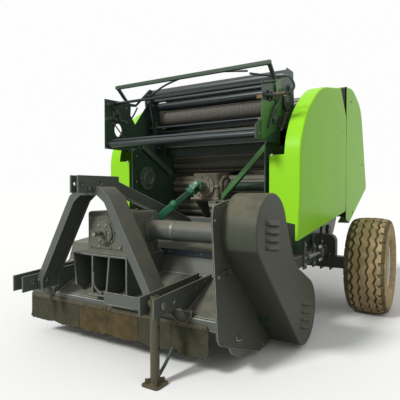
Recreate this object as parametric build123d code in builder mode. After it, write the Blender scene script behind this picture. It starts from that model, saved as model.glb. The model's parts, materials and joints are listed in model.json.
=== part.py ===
from build123d import *

import os
from math import cos, hypot, radians, sin, sqrt

os.makedirs("parts", exist_ok=True)

# Round baler with a flail pick-up header, carried on two wheels and a parking leg.
# Millimetres, +Z up, -Y the hitch end, +X the machine's left as it travels.
# Stations are measured rearwards from the front edge of the side covers.

# ---- driving sizes -------------------------------------------------------------------
HITCH_FRONT = -960  # station of the link plates' front ends
TAIL_REAR = 2380  # station of the tail cover's rear edge
MIDDLE = (HITCH_FRONT + TAIL_REAR) / 2

TYRE_RADIUS = 435
TYRE_WIDTH = 350
RIM_RADIUS = 206  # bead seat
WHEEL_X = 1108
AXLE_STATION = 1360
STUB_RADIUS = 30

CHAMBER_STATION = 1345
CHAMBER_Z = 1285
ROLL_CIRCLE = 660  # radius of the circle that the roll axes lie on
ROLL_RADIUS = 100
ROLL_RIBS = 8
ROLL_RIB_HEIGHT = 12
ROLL_SHAFT = 25
HALF_WIDTH = 612  # chamber centre to the side plates' inner faces
SIDE_WALL = 8
FRAME_RADIUS = 775  # round outline of the fixed side plates
TAIL_RADIUS = 840  # round outline of the tail's side plates
FRAME_BOTTOM = TYRE_RADIUS + 65
SPLIT_STATION = 1350  # rear edge of the fixed side plates
SPLIT_GAP = 12

FRONT_ROLL_ANGLES = (20, 40, 60, 80, 100, 120, 160)  # from straight up, towards the hitch
TAIL_ROLL_ANGLES = (10, 30, 50, 70, 90, 110, 130, 150)  # from straight up, rearwards

HINGE_STATION = 1280
HINGE_Z = 1980
HINGE_PIN = 20

COVER_X = 875  # outer face of the side covers
COVER_WALL = 3
COVER_FACE = 225  # width of the covers' front faces
COVER_STRIP = 115  # width of their curved top strips
DOOR_HINGE_X = 860
DOOR_HINGE_STATION = 1340

HEADER_LEFT = 645  # outer face of the header's left end plate
HEADER_RIGHT = -1076
END_WALL = 10
ROTOR_STATION = -100
ROTOR_Z = 320
ROTOR_TUBE = 80
ROTOR_REACH = 255
ROTOR_SHAFT = 30

HOOD_KNEE = (-300, 530)  # station and height, as for the next three
HOOD_STEP = (-250, 680)
HOOD_CREST = (100, 720)
HOOD_TAIL = (200, 600)

HITCH_X = -265
LINK_HALF_SPREAD = 576
LINK_HALF_GAP = 44
LINK_PLATE = 12
LINK_PIN_STATION = -766
LEG_PIN_STATION = -880
LINK_PIN_Z = 469
LINK_BORE = 14.4
TOP_BORE = 12.9
PTO_STUB = 17.4

SHAFT_GAP = 0.3  # radial clearance of a shaft in its plain bearing
PIN_GAP = 0.3

SIDES = (("left", 1), ("right", -1))


def y_at(station):
    """Row Y of a station behind the covers' front edge."""
    return station - MIDDLE


def side_view(x):
    """Plane across the machine at x, its first axis rearwards and its second up."""
    return Plane.YZ.offset(x)


def on_ring(radius, angle, direction=-1):
    """Point on a circle about the chamber: angle from straight up, -1 to the front."""
    return (
        y_at(CHAMBER_STATION) + direction * radius * sin(radians(angle)),
        CHAMBER_Z + radius * cos(radians(angle)),
    )


def stations(*points):
    """Points given as (station, height) in the side view's own axes."""
    return [(y_at(station), height) for station, height in points]


def band(points, wall):
    """Closed outline of a sheet: the open polyline, and back along it offset to its right."""
    normals = []
    for (ya, za), (yb, zb) in zip(points, points[1:]):
        run = hypot(yb - ya, zb - za)
        normals.append(((zb - za) / run, -(yb - ya) / run))
    inner = []
    for index, (y, z) in enumerate(points):
        near = normals[max(index - 1, 0)]
        far = normals[min(index, len(normals) - 1)]
        scale = wall / (1 + near[0] * far[0] + near[1] * far[1])
        inner.append((y + (near[0] + far[0]) * scale, z + (near[1] + far[1]) * scale))
    return [*points, *reversed(inner)]


# ---- wheels --------------------------------------------------------------------------
SIDEWALL = TYRE_RADIUS - RIM_RADIUS
SHOULDER_IN = 20  # tread's edge, in from the tyre's widest place
BEAD_HALF = 120
RIM_WALL = 8
FLANGE = 16
DISC_OFFSET = 20  # wheel disc's outer face, outboard of the wheel's middle
DISC_WALL = 14
HUB_RADIUS = 75
HUB_INNER = -110  # hub's inner end, from the wheel's middle
STUB_END = 10  # stub axle's outer end, from the wheel's middle
HUB_CAP = 45

axle_z = TYRE_RADIUS
for side, sign in SIDES:
    centre = (sign * WHEEL_X, y_at(AXLE_STATION), axle_z)
    section = Plane(origin=centre, x_dir=(sign, 0, 0), z_dir=(0, -sign, 0))
    spin = Axis(centre, (1, 0, 0))

    with BuildPart() as tyre:
        with BuildSketch(section):
            with BuildLine():
                bead = RIM_RADIUS + SHAFT_GAP
                half = [
                    (BEAD_HALF, bead),
                    (BEAD_HALF, RIM_RADIUS + FLANGE + 2),
                    (TYRE_WIDTH / 2, RIM_RADIUS + SIDEWALL / 2),
                    (TYRE_WIDTH / 2 - SHOULDER_IN, TYRE_RADIUS),
                ]
                Polyline(*half, *[(-x, radius) for x, radius in reversed(half)], close=True)
            make_face()
        revolve(axis=spin)
    tyre.part.label = f"tyre_{side}"
    export_step(tyre.part, f"parts/tyre_{side}.step")

    with BuildPart() as rim:
        with BuildSketch(section):
            flange_in = BEAD_HALF + SHAFT_GAP
            flange_out = flange_in + RIM_WALL
            inside = RIM_RADIUS - RIM_WALL
            with BuildLine():
                Polyline(
                    (-flange_out, RIM_RADIUS + FLANGE),
                    (-flange_in, RIM_RADIUS + FLANGE),
                    (-flange_in, RIM_RADIUS),
                    (flange_in, RIM_RADIUS),
                    (flange_in, RIM_RADIUS + FLANGE),
                    (flange_out, RIM_RADIUS + FLANGE),
                    (flange_out, inside),
                    (DISC_OFFSET, inside),
                    (DISC_OFFSET, HUB_RADIUS),
                    (HUB_CAP, HUB_RADIUS - 15),
                    (HUB_CAP, 0),
                    (STUB_END + 3, 0),
                    (STUB_END + 3, STUB_RADIUS + SHAFT_GAP),
                    (HUB_INNER, STUB_RADIUS + SHAFT_GAP),
                    (HUB_INNER, HUB_RADIUS),
                    (DISC_OFFSET - DISC_WALL, HUB_RADIUS),
                    (DISC_OFFSET - DISC_WALL, inside),
                    (-flange_out, inside),
                    close=True,
                )
            make_face()
        revolve(axis=spin)
    rim.part.label = f"rim_{side}"
    export_step(rim.part, f"parts/rim_{side}.step")

# ---- axle and side rails -------------------------------------------------------------
AXLE_BEAM = 110
AXLE_HALF = 880
RAIL_WIDTH = 80
RAIL_HEIGHT = 100
RAIL_FRONT = 300
RAIL_REAR = 1318
KNUCKLE_IN = 8  # clear of the swinging tail plate
KNUCKLE_OUT = 170  # knuckle's outer face from the side plate's outer face
KNUCKLE_TOP = 700
KNUCKLE_BEND = 70
KNUCKLE_LENGTH = 84

beam_top = axle_z + AXLE_BEAM / 2
plate_out = HALF_WIDTH + SIDE_WALL

with BuildPart() as axle_beam:
    with BuildSketch(side_view(-AXLE_HALF)):
        with Locations((y_at(AXLE_STATION), axle_z)):
            RectangleRounded(AXLE_BEAM, AXLE_BEAM, 10)
    extrude(amount=2 * AXLE_HALF)
    for sign in (1, -1):
        with BuildSketch(side_view(sign * AXLE_HALF)):
            with Locations((y_at(AXLE_STATION), axle_z)):
                Circle(60)
        extrude(amount=sign * 25)
        with BuildSketch(side_view(sign * AXLE_HALF)):
            with Locations((y_at(AXLE_STATION), axle_z)):
                Circle(STUB_RADIUS)
        extrude(amount=sign * (WHEEL_X + STUB_END - AXLE_HALF))
axle_beam.part.label = "axle_beam"
export_step(axle_beam.part, "parts/axle_beam.step")

# A closed knuckle box stands on the beam behind each rail, its outer top corner well rounded.
with BuildPart() as side_rails:
    for sign in (1, -1):
        with BuildSketch(side_view(sign * plate_out)):
            with Locations((y_at((RAIL_FRONT + RAIL_REAR) / 2), beam_top + RAIL_HEIGHT / 2)):
                Rectangle(RAIL_REAR - RAIL_FRONT, RAIL_HEIGHT)
        extrude(amount=sign * RAIL_WIDTH)
        with BuildSketch(Plane.XZ.offset(-y_at(RAIL_REAR))):
            with BuildLine():
                knuckle_x = sign * (plate_out + KNUCKLE_OUT)
                bend_x = sign * (plate_out + KNUCKLE_OUT - KNUCKLE_BEND)
                inner_x = sign * (plate_out + KNUCKLE_IN)
                Line((inner_x, KNUCKLE_TOP), (inner_x, beam_top))
                Line((inner_x, beam_top), (knuckle_x, beam_top))
                Line((knuckle_x, beam_top), (knuckle_x, KNUCKLE_TOP - KNUCKLE_BEND))
                RadiusArc(
                    (knuckle_x, KNUCKLE_TOP - KNUCKLE_BEND), (bend_x, KNUCKLE_TOP), -sign * KNUCKLE_BEND
                )
                Line((bend_x, KNUCKLE_TOP), (inner_x, KNUCKLE_TOP))
            make_face()
        extrude(amount=-KNUCKLE_LENGTH)
side_rails.part.label = "side_rails"
export_step(side_rails.part, "parts/side_rails.step")

# ---- chamber side plates and feed channel --------------------------------------------
BAY_FRONT = 0
BAY_TOP = 1460
BAY_BOTTOM = 1000
WEDGE_Z = 1800  # where the split leans forward to clear the opening tail
WEDGE_STATION = 1120
BEARING_RADIUS = 50
BEARING_DEPTH = 18
EAR_GAP = 6
EAR_WALL = 16
EAR_RADIUS = 45
CYLINDER_BASE = (1200, 1100)  # station and height of the tail cylinders' foot pins
CYLINDER_EYE = (1500, 1840)
SPROCKET_OUT = BEARING_DEPTH + 8  # from the right side plate's outer face
SPROCKET_WALL = 26  # double-row, for two chains side by side
BARREL_RADIUS = 30
CYLINDER_IN = SPROCKET_OUT + SPROCKET_WALL + BARREL_RADIUS + 8  # side plate to cylinder's middle

ring_top = sqrt(FRAME_RADIUS**2 - (CHAMBER_STATION - WEDGE_STATION) ** 2)
arc_end = on_ring(FRAME_RADIUS, 60)
arc_mid = on_ring(FRAME_RADIUS, 38)
wedge_top = (y_at(WEDGE_STATION), CHAMBER_Z + ring_top)

for side, sign in SIDES:
    with BuildPart() as chamber_side:
        with BuildSketch(side_view(sign * HALF_WIDTH)):
            with BuildLine():
                Polyline(
                    wedge_top,
                    *stations((SPLIT_STATION, WEDGE_Z), (SPLIT_STATION, FRAME_BOTTOM)),
                    *stations((270, FRAME_BOTTOM), (230, 800), (BAY_FRONT, BAY_BOTTOM)),
                    *stations((BAY_FRONT, BAY_TOP), (200, 1570)),
                    arc_end,
                )
                ThreePointArc(arc_end, arc_mid, wedge_top)
            make_face()
        extrude(amount=sign * SIDE_WALL)
        with BuildSketch(side_view(sign * plate_out)):
            for angle in FRONT_ROLL_ANGLES:
                with Locations(on_ring(ROLL_CIRCLE, angle)):
                    RegularPolygon(BEARING_RADIUS, 8)
        extrude(amount=sign * BEARING_DEPTH)
        # Hinge ear, stood off the plate so that the tail's arm passes inside it.
        with BuildSketch(side_view(sign * plate_out)):
            with BuildLine():
                Polyline(*stations((1000, 1760), (1230, 1700), (1230, 1850), (1080, 1960)), close=True)
            make_face()
        extrude(amount=sign * EAR_GAP)
        with BuildSketch(side_view(sign * (plate_out + EAR_GAP))):
            with BuildLine():
                Polyline(
                    *stations((1000, 1760), (1230, 1700)),
                    (y_at(HINGE_STATION) + EAR_RADIUS, HINGE_Z),
                    (y_at(HINGE_STATION), HINGE_Z + EAR_RADIUS),
                    close=True,
                )
            make_face()
            with Locations((y_at(HINGE_STATION), HINGE_Z)):
                Circle(EAR_RADIUS)
        extrude(amount=sign * EAR_WALL)
        with BuildSketch(side_view(sign * (plate_out + EAR_GAP))):
            with Locations((y_at(HINGE_STATION), HINGE_Z)):
                Circle(HINGE_PIN)
        extrude(amount=-sign * (EAR_GAP + SIDE_WALL + 12))
        # Foot pin of the tail cylinder.
        with BuildSketch(side_view(sign * plate_out)):
            with Locations((y_at(CYLINDER_BASE[0]), CYLINDER_BASE[1])):
                Circle(15)
        extrude(amount=sign * (CYLINDER_IN + 30))
        with BuildSketch(side_view(sign * (HALF_WIDTH - 1))):
            for angle in FRONT_ROLL_ANGLES:
                with Locations(on_ring(ROLL_CIRCLE, angle)):
                    Circle(ROLL_SHAFT + SHAFT_GAP)
        extrude(amount=sign * (SIDE_WALL + EAR_GAP + EAR_WALL + 2), mode=Mode.SUBTRACT)
    chamber_side.part.label = f"chamber_side_{side}"
    export_step(chamber_side.part, f"parts/chamber_side_{side}.step")

FLOOR_WALL = 5
BAY_BEAM = 100
BAY_BEAM_STATION = 380
BAY_BEAM_Z = 840
HEADER_ARM = 40
HEADER_ARMS = (-580, 470)

with BuildPart() as feed_floor:
    with BuildSketch(side_view(-HALF_WIDTH)):
        with BuildLine():
            floor = stations((1080, 550), (500, 390), (HOOD_TAIL[0], 330))
            Polyline(*band(floor, -FLOOR_WALL), close=True)
        make_face()
    extrude(amount=2 * HALF_WIDTH)
feed_floor.part.label = "feed_floor"
export_step(feed_floor.part, "parts/feed_floor.step")

# ---- bay beam, main gearbox and drive shaft ------------------------------------------
GEARBOX_X = 20
GEARBOX_STATION = 270
GEARBOX_BOTTOM = 1050
GEARBOX_TOP = 1265
GEARBOX_WIDTH = 260
GEARBOX_LENGTH = 240
INPUT_FLANGE = 22
INPUT_NECK = 30
BRACE = 44
BRACE_FOOT = (185, 165, 1071)  # x, station and height of its lower end
BRACE_HEAD = (30, 1436)  # station and height where it meets the left side plate

with BuildPart() as bay_beam:
    with BuildSketch(side_view(-HALF_WIDTH)):
        with Locations((y_at(BAY_BEAM_STATION), BAY_BEAM_Z)):
            RectangleRounded(BAY_BEAM, BAY_BEAM, 8)
    extrude(amount=2 * HALF_WIDTH)
    # Pedestal under the main gearbox.
    pedestal_top = Plane.XY.offset(GEARBOX_BOTTOM)
    with BuildSketch(pedestal_top):
        with Locations((GEARBOX_X, y_at(GEARBOX_STATION))):
            Rectangle(220, 200)
        with Locations((BRACE_FOOT[0] - 35, y_at(BRACE_FOOT[1]) + 20)):
            Rectangle(120, 90)
    extrude(amount=-14)
    # Brace from the pedestal up to the left side plate.
    with BuildSketch(side_view(BRACE_FOOT[0])):
        with Locations((y_at(BRACE_FOOT[1]), BRACE_FOOT[2])):
            Rectangle(BRACE, BRACE + 6)
    with BuildSketch(side_view(HALF_WIDTH)):
        with Locations((y_at(BRACE_HEAD[0]), BRACE_HEAD[1])):
            Rectangle(BRACE, BRACE + 6)
    loft()
    for web_x in (GEARBOX_X - 95, GEARBOX_X + 95):
        with BuildSketch(side_view(web_x - 6)):
            with BuildLine():
                Polyline(
                    *stations(
                        (GEARBOX_STATION - 90, GEARBOX_BOTTOM - 14),
                        (GEARBOX_STATION + 90, GEARBOX_BOTTOM - 14),
                        (BAY_BEAM_STATION + 40, BAY_BEAM_Z + BAY_BEAM / 2 - 5),
                        (BAY_BEAM_STATION - 45, BAY_BEAM_Z + BAY_BEAM / 2 - 5),
                    ),
                    close=True,
                )
            make_face()
        extrude(amount=12)
    # Arms from the beam down onto the header's hood.
    for arm_x in HEADER_ARMS:
        with BuildSketch(side_view(arm_x)):
            with BuildLine():
                arm_rear = BAY_BEAM_STATION - BAY_BEAM / 2 + 5
                Polyline(
                    *stations(HOOD_CREST, HOOD_TAIL),
                    *stations((arm_rear, BAY_BEAM_Z - 40), (arm_rear, BAY_BEAM_Z + 40)),
                    close=True,
                )
            make_face()
        extrude(amount=HEADER_ARM)
bay_beam.part.label = "bay_beam"
export_step(bay_beam.part, "parts/bay_beam.step")

with BuildPart() as main_gearbox:
    with BuildSketch(Plane.XY.offset(GEARBOX_BOTTOM)):
        with Locations((GEARBOX_X, y_at(GEARBOX_STATION))):
            Rectangle(GEARBOX_WIDTH, GEARBOX_LENGTH)
    extrude(amount=GEARBOX_TOP - GEARBOX_BOTTOM)
    chamfer(main_gearbox.edges().filter_by(Axis.Z), length=22)
    chamfer(main_gearbox.edges().group_by(Axis.Z)[-1], length=14)
    input_z = (GEARBOX_BOTTOM + GEARBOX_TOP) / 2
    front = Plane(
        origin=(GEARBOX_X, y_at(GEARBOX_STATION) - GEARBOX_LENGTH / 2, input_z),
        x_dir=(1, 0, 0),
        z_dir=(0, -1, 0),
    )
    with BuildSketch(front):
        Circle(95)
    extrude(amount=INPUT_FLANGE)
    with BuildSketch(front.offset(INPUT_FLANGE)):
        Circle(45)
    extrude(amount=INPUT_NECK)
    input_front = y_at(GEARBOX_STATION) - GEARBOX_LENGTH / 2 - INPUT_FLANGE - INPUT_NECK
    # Side bearing housing and the cross shaft to the left side plate.
    flank_x = GEARBOX_X + GEARBOX_WIDTH / 2
    flank = side_view(flank_x)
    with BuildSketch(flank):
        with Locations((y_at(GEARBOX_STATION), input_z)):
            Circle(90)
    extrude(amount=35)
    with BuildSketch(side_view(flank_x + 35)):
        with Locations((y_at(GEARBOX_STATION), input_z)):
            Circle(38)
    extrude(amount=HALF_WIDTH - flank_x - 35)
main_gearbox.part.label = "main_gearbox"
export_step(main_gearbox.part, "parts/main_gearbox.step")

HEADER_BOX_STATION = -500
HEADER_BOX_BOTTOM = 680
HEADER_BOX_TOP = 980
HEADER_BOX_WIDTH = 360
HEADER_BOX_LENGTH = 360
HEADER_SHAFT_Z = 834

YOKE_RADIUS = 40
YOKE_LENGTH = 60
CROSS_HALF = 31
box_rear = y_at(HEADER_BOX_STATION) + HEADER_BOX_LENGTH / 2
pto_front = Vector(HITCH_X, box_rear + YOKE_LENGTH, HEADER_SHAFT_Z)
pto_rear = Vector(GEARBOX_X, input_front - YOKE_LENGTH, input_z)
run = pto_rear - pto_front

with BuildPart() as drive_shaft:
    # Yoke hub on each gearbox, the joint's cross block, and two sliding tubes between.
    for point, outward in ((pto_front, -1), (pto_rear, 1)):
        hub = Plane(origin=point, x_dir=(1, 0, 0), z_dir=(0, outward, 0))
        with BuildSketch(hub):
            Circle(YOKE_RADIUS)
        extrude(amount=YOKE_LENGTH)
        cross = Plane(origin=point, x_dir=(0, 0, 1), z_dir=run.normalized())
        with BuildSketch(cross.offset(-CROSS_HALF)):
            Rectangle(2 * CROSS_HALF, 2 * CROSS_HALF)
        extrude(amount=2 * CROSS_HALF)
    along = Plane(origin=pto_front, x_dir=(0, 0, 1), z_dir=run.normalized())
    with BuildSketch(along):
        Rectangle(54, 54)
    extrude(amount=run.length * 0.55)
    with BuildSketch(along.offset(run.length * 0.5)):
        Rectangle(44, 44)
    extrude(amount=run.length * 0.5)
drive_shaft.part.label = "drive_shaft"
export_step(drive_shaft.part, "parts/drive_shaft.step")

# ---- header hood, end plates, front beam and curtain ---------------------------------
HOOD_WALL = 6
BEAM_FRONT = -668
BEAM_REAR = -598
BEAM_BOTTOM = 290
BEAM_TOP = 356
HOOD_LIP = (-655, BEAM_TOP + HOOD_WALL)
LINK_FRONT_LOW = 410
LEG_WALL = 8
LEDGE_FRONT = -720
LEDGE_WALL = 10
LEDGE_RIGHT = -396
LIP_RIGHT = -240
CURTAIN_LEFT = 550
CURTAIN_BOTTOM = 120
CURTAIN_WALL = 8
CURTAIN_FLAPS = 6
FLAP_GAP = 3

link_inner_left = HITCH_X + LINK_HALF_SPREAD - LINK_HALF_GAP - LINK_PLATE
end_inner_left = HEADER_LEFT - END_WALL
end_inner_right = HEADER_RIGHT + END_WALL
header_width = end_inner_left - end_inner_right
lean = (HOOD_KNEE[1] - HOOD_LIP[1]) / (HOOD_KNEE[0] - HOOD_LIP[0])


def hood_height(station):
    """Height of the hood's long front slope at a station."""
    return HOOD_LIP[1] + (station - HOOD_LIP[0]) * lean


def hood_station(height):
    """Station of the hood's long front slope at a height."""
    return HOOD_LIP[0] + (height - HOOD_LIP[1]) / lean


with BuildPart() as header_hood:
    with BuildSketch(side_view(end_inner_right)):
        with BuildLine():
            outline = stations(HOOD_LIP, HOOD_KNEE, HOOD_STEP, HOOD_CREST, HOOD_TAIL)
            Polyline(*band(outline, HOOD_WALL), close=True)
        make_face()
    extrude(amount=header_width)
header_hood.part.label = "header_hood"
export_step(header_hood.part, "parts/header_hood.step")

with BuildPart() as front_beam:
    with BuildSketch(side_view(end_inner_right)):
        with Locations((y_at((BEAM_FRONT + BEAM_REAR) / 2), (BEAM_BOTTOM + BEAM_TOP) / 2)):
            Rectangle(BEAM_REAR - BEAM_FRONT, BEAM_TOP - BEAM_BOTTOM)
    extrude(amount=header_width)
front_beam.part.label = "front_beam"
export_step(front_beam.part, "parts/front_beam.step")

# Ledge over the beam that the headstock's feet stand on, its front edge turned down and up.
with BuildPart() as hitch_ledge:
    with BuildSketch(side_view(LEDGE_RIGHT)):
        with BuildLine():
            Polyline(
                *stations((LEDGE_FRONT, LINK_FRONT_LOW), (LEDGE_FRONT, LINK_FRONT_LOW - LEDGE_WALL)),
                *stations((hood_station(LINK_FRONT_LOW - LEDGE_WALL), LINK_FRONT_LOW - LEDGE_WALL)),
                *stations((hood_station(LINK_FRONT_LOW), LINK_FRONT_LOW)),
                close=True,
            )
        make_face()
    extrude(amount=link_inner_left - LEDGE_RIGHT)
    with BuildSketch(side_view(LIP_RIGHT)):
        with Locations((y_at(LEDGE_FRONT) - LEDGE_WALL / 2, LINK_FRONT_LOW - 10)):
            Rectangle(LEDGE_WALL, 80)
    extrude(amount=link_inner_left - LEG_WALL - LIP_RIGHT)
hitch_ledge.part.label = "hitch_ledge"
export_step(hitch_ledge.part, "parts/hitch_ledge.step")

with BuildPart() as header_ends:
    for inner_x, sign in ((end_inner_left, 1), (end_inner_right, -1)):
        with BuildSketch(side_view(inner_x)):
            with BuildLine():
                Polyline(
                    *stations((BEAM_FRONT, BEAM_BOTTOM), (BEAM_FRONT, BEAM_TOP), HOOD_LIP, HOOD_KNEE),
                    *stations(HOOD_STEP, HOOD_CREST, HOOD_TAIL, (HOOD_TAIL[0], 300), (80, 62)),
                    *stations((-400, 62), (-560, 140)),
                    close=True,
                )
            make_face()
            with Locations((y_at(ROTOR_STATION), ROTOR_Z)):
                Circle(ROTOR_SHAFT + SHAFT_GAP, mode=Mode.SUBTRACT)
        extrude(amount=sign * END_WALL)
header_ends.part.label = "header_ends"
export_step(header_ends.part, "parts/header_ends.step")

flap_pitch = (CURTAIN_LEFT - HEADER_RIGHT) / CURTAIN_FLAPS
with BuildPart() as rubber_curtain:
    for index in range(CURTAIN_FLAPS):
        with BuildSketch(side_view(HEADER_RIGHT + index * flap_pitch + FLAP_GAP / 2)):
            middle_z = (CURTAIN_BOTTOM + BEAM_BOTTOM + 20) / 2
            with Locations((y_at(BEAM_FRONT) - CURTAIN_WALL / 2, middle_z)):
                Rectangle(CURTAIN_WALL, BEAM_BOTTOM + 20 - CURTAIN_BOTTOM)
        extrude(amount=flap_pitch - FLAP_GAP)
rubber_curtain.part.label = "rubber_curtain"
export_step(rubber_curtain.part, "parts/rubber_curtain.step")

# ---- headstock -----------------------------------------------------------------------
LEG_FRONT = -840
LEG_DEPTH = 150
LEG_FLANGE = 56
LEG_KNEE = 500  # up to here the legs stand upright against the link plates
CROWN_TOP = 1150
CROWN_HALF = 95
SHOULDER = (181, CROWN_TOP - 63)  # half width and height where the crown turns into the legs
LINK_ACCESS = 24  # free hole through the leg's web at the link pin
LINK_FRONT_HIGH = 520
LINK_REAR = -320
LINK_REAR_HIGH = 553
TOP_HOLES = ((-926, CROWN_TOP + 18), (-862, CROWN_TOP - 10), (-762, CROWN_TOP + 27))
TOP_PLATE = 12
BRACKET_LOW = CROWN_TOP - 40
BRACKET_HIGH = CROWN_TOP + 72
BRACKET_REAR = -590
STRUT_WIDTH = 52

foot_half = LINK_HALF_SPREAD - LINK_HALF_GAP - LINK_PLATE
leg_front = y_at(LEG_FRONT)

# Each leg is a channel open towards the middle: a web and two flanges, down from the crown.
for side, sign in SIDES:
    path = ((0, CROWN_TOP), (sign * CROWN_HALF, CROWN_TOP), (sign * SHOULDER[0], SHOULDER[1]))
    path += ((sign * foot_half, LEG_KNEE), (sign * foot_half, LINK_FRONT_LOW))
    with BuildPart() as headstock_leg:
        for start, depth, width in (
            (leg_front, LEG_DEPTH, LEG_WALL),
            (leg_front, LEG_WALL, LEG_FLANGE),
            (leg_front + LEG_DEPTH - LEG_WALL, LEG_WALL, LEG_FLANGE),
        ):
            with BuildSketch(Plane(origin=(HITCH_X, start, 0), x_dir=(1, 0, 0), z_dir=(0, -1, 0))):
                with BuildLine():
                    Polyline(*band(path, sign * width), close=True)
                make_face()
            extrude(amount=-depth)
        with BuildSketch(side_view(HITCH_X + sign * (foot_half + 1))):
            with Locations((y_at(LINK_PIN_STATION), LINK_PIN_Z)):
                Circle(LINK_ACCESS)
        extrude(amount=-sign * (LEG_WALL + 2), mode=Mode.SUBTRACT)
    headstock_leg.part.label = f"headstock_leg_{side}"
    export_step(headstock_leg.part, f"parts/headstock_leg_{side}.step")

with BuildPart() as top_link_bracket:
    for near in (STRUT_WIDTH / 2, -STRUT_WIDTH / 2 - TOP_PLATE):
        with BuildSketch(side_view(HITCH_X + near)):
            with BuildLine():
                Polyline(
                    *stations((HITCH_FRONT, BRACKET_LOW), (HITCH_FRONT, BRACKET_HIGH)),
                    *stations((BRACKET_REAR, BRACKET_HIGH), (BRACKET_REAR, BRACKET_LOW)),
                    *stations((LEG_FRONT + LEG_DEPTH, BRACKET_LOW), (LEG_FRONT + LEG_DEPTH, CROWN_TOP)),
                    *stations((LEG_FRONT, CROWN_TOP), (LEG_FRONT, BRACKET_LOW)),
                    close=True,
                )
            make_face()
            for station, height in TOP_HOLES:
                with Locations((y_at(station), height)):
                    Circle(TOP_BORE, mode=Mode.SUBTRACT)
        extrude(amount=TOP_PLATE)
top_link_bracket.part.label = "top_link_bracket"
export_step(top_link_bracket.part, "parts/top_link_bracket.step")

with BuildPart() as rear_strut:
    with BuildSketch(side_view(HITCH_X - STRUT_WIDTH / 2)):
        with BuildLine():
            strut_start = LEG_FRONT + LEG_DEPTH
            strut_end = BAY_BEAM_STATION - BAY_BEAM / 2
            Polyline(
                *stations(
                    (strut_start, CROWN_TOP - 40),
                    (strut_start, CROWN_TOP + 60),
                    (strut_start + 50, CROWN_TOP + 60),
                    (strut_end, BAY_BEAM_Z + 42),
                    (strut_end, BAY_BEAM_Z - 42),
                    (strut_start + 60, CROWN_TOP - 40),
                ),
                close=True,
            )
        make_face()
    extrude(amount=STRUT_WIDTH)
rear_strut.part.label = "rear_strut"
export_step(rear_strut.part, "parts/rear_strut.step")

for side, sign in SIDES:
    link_x = HITCH_X + sign * LINK_HALF_SPREAD
    with BuildPart() as link_plates:
        for near in (LINK_HALF_GAP, -LINK_HALF_GAP - LINK_PLATE):
            with BuildSketch(side_view(link_x + near)):
                with BuildLine():
                    Polyline(
                        *stations(
                            (HITCH_FRONT, LINK_FRONT_LOW),
                            (HITCH_FRONT, LINK_FRONT_HIGH),
                            (LINK_REAR, LINK_REAR_HIGH),
                            (LINK_REAR, hood_height(LINK_REAR)),
                            HOOD_LIP,
                            (BEAM_FRONT - 30, LINK_FRONT_LOW + 8),
                        ),
                        close=True,
                    )
                make_face()
                for station in (LINK_PIN_STATION, LEG_PIN_STATION):
                    with Locations((y_at(station), LINK_PIN_Z)):
                        Circle(LINK_BORE, mode=Mode.SUBTRACT)
            extrude(amount=LINK_PLATE)
    link_plates.part.label = f"link_plates_{side}"
    export_step(link_plates.part, f"parts/link_plates_{side}.step")

# ---- header gearbox, its stand, the cross tube and the belt drive's guard ------------
STAND_RIGHT = -583
STAND_LEFT = -70
STAND_WALL = 12
TUBE_RADIUS = 70
TUBE_STATION = -400
TUBE_Z = 845
GUARD_WALL = 10
GUARD_OUT = 872

stand_front_station = HEADER_BOX_STATION - HEADER_BOX_LENGTH / 2 - 10
stand_front = stand_front_station
stand_top = HEADER_BOX_BOTTOM
step_lean = (HOOD_STEP[0] - HOOD_KNEE[0]) / (HOOD_STEP[1] - HOOD_KNEE[1])


def step_station(height):
    """Station of the hood's steep step at a height."""
    return HOOD_KNEE[0] + (height - HOOD_KNEE[1]) * step_lean


on_ledge = hood_station(LINK_FRONT_LOW)
GUSSETS = (  # x, station and height of the front foot, station of the rear foot on the hood
    (STAND_RIGHT, -667, 442, -600),
    (LEDGE_RIGHT, stand_front_station, LINK_FRONT_LOW, on_ledge),
    (LIP_RIGHT + 2, LEDGE_FRONT + 2, LINK_FRONT_LOW, on_ledge),
    (STAND_LEFT - STAND_WALL, stand_front_station, LINK_FRONT_LOW, on_ledge),
)

with BuildPart() as gearbox_stand:
    with BuildSketch(side_view(STAND_RIGHT)):
        with BuildLine():
            Polyline(
                *stations(
                    (stand_front, stand_top - STAND_WALL),
                    (stand_front, stand_top),
                    (step_station(stand_top), stand_top),
                    (step_station(stand_top - STAND_WALL), stand_top - STAND_WALL),
                ),
                close=True,
            )
        make_face()
    extrude(amount=STAND_LEFT - STAND_RIGHT)
    for gusset_x, foot_station, foot_z, rear_station in GUSSETS:
        with BuildSketch(side_view(gusset_x)):
            with BuildLine():
                Polyline(
                    *stations(
                        (stand_front, stand_top - STAND_WALL),
                        (foot_station, foot_z),
                        (rear_station, hood_height(rear_station)),
                        HOOD_KNEE,
                        (step_station(stand_top - STAND_WALL), stand_top - STAND_WALL),
                    ),
                    close=True,
                )
            make_face()
        extrude(amount=STAND_WALL)
gearbox_stand.part.label = "gearbox_stand"
export_step(gearbox_stand.part, "parts/gearbox_stand.step")

with BuildPart() as header_gearbox:
    with BuildSketch(Plane.XY.offset(HEADER_BOX_BOTTOM)):
        with Locations((HITCH_X, y_at(HEADER_BOX_STATION))):
            RectangleRounded(HEADER_BOX_WIDTH, HEADER_BOX_LENGTH, 20)
    extrude(amount=HEADER_BOX_TOP - HEADER_BOX_BOTTOM)
    box_front = Plane(
        origin=(HITCH_X, y_at(HEADER_BOX_STATION) - HEADER_BOX_LENGTH / 2, HEADER_SHAFT_Z),
        x_dir=(1, 0, 0),
        z_dir=(0, -1, 0),
    )
    with BuildSketch(box_front):
        Circle(80)
    extrude(amount=20)
    with BuildSketch(box_front.offset(20)):
        Circle(PTO_STUB)
    extrude(amount=100)
header_gearbox.part.label = "header_gearbox"
export_step(header_gearbox.part, "parts/header_gearbox.step")

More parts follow.
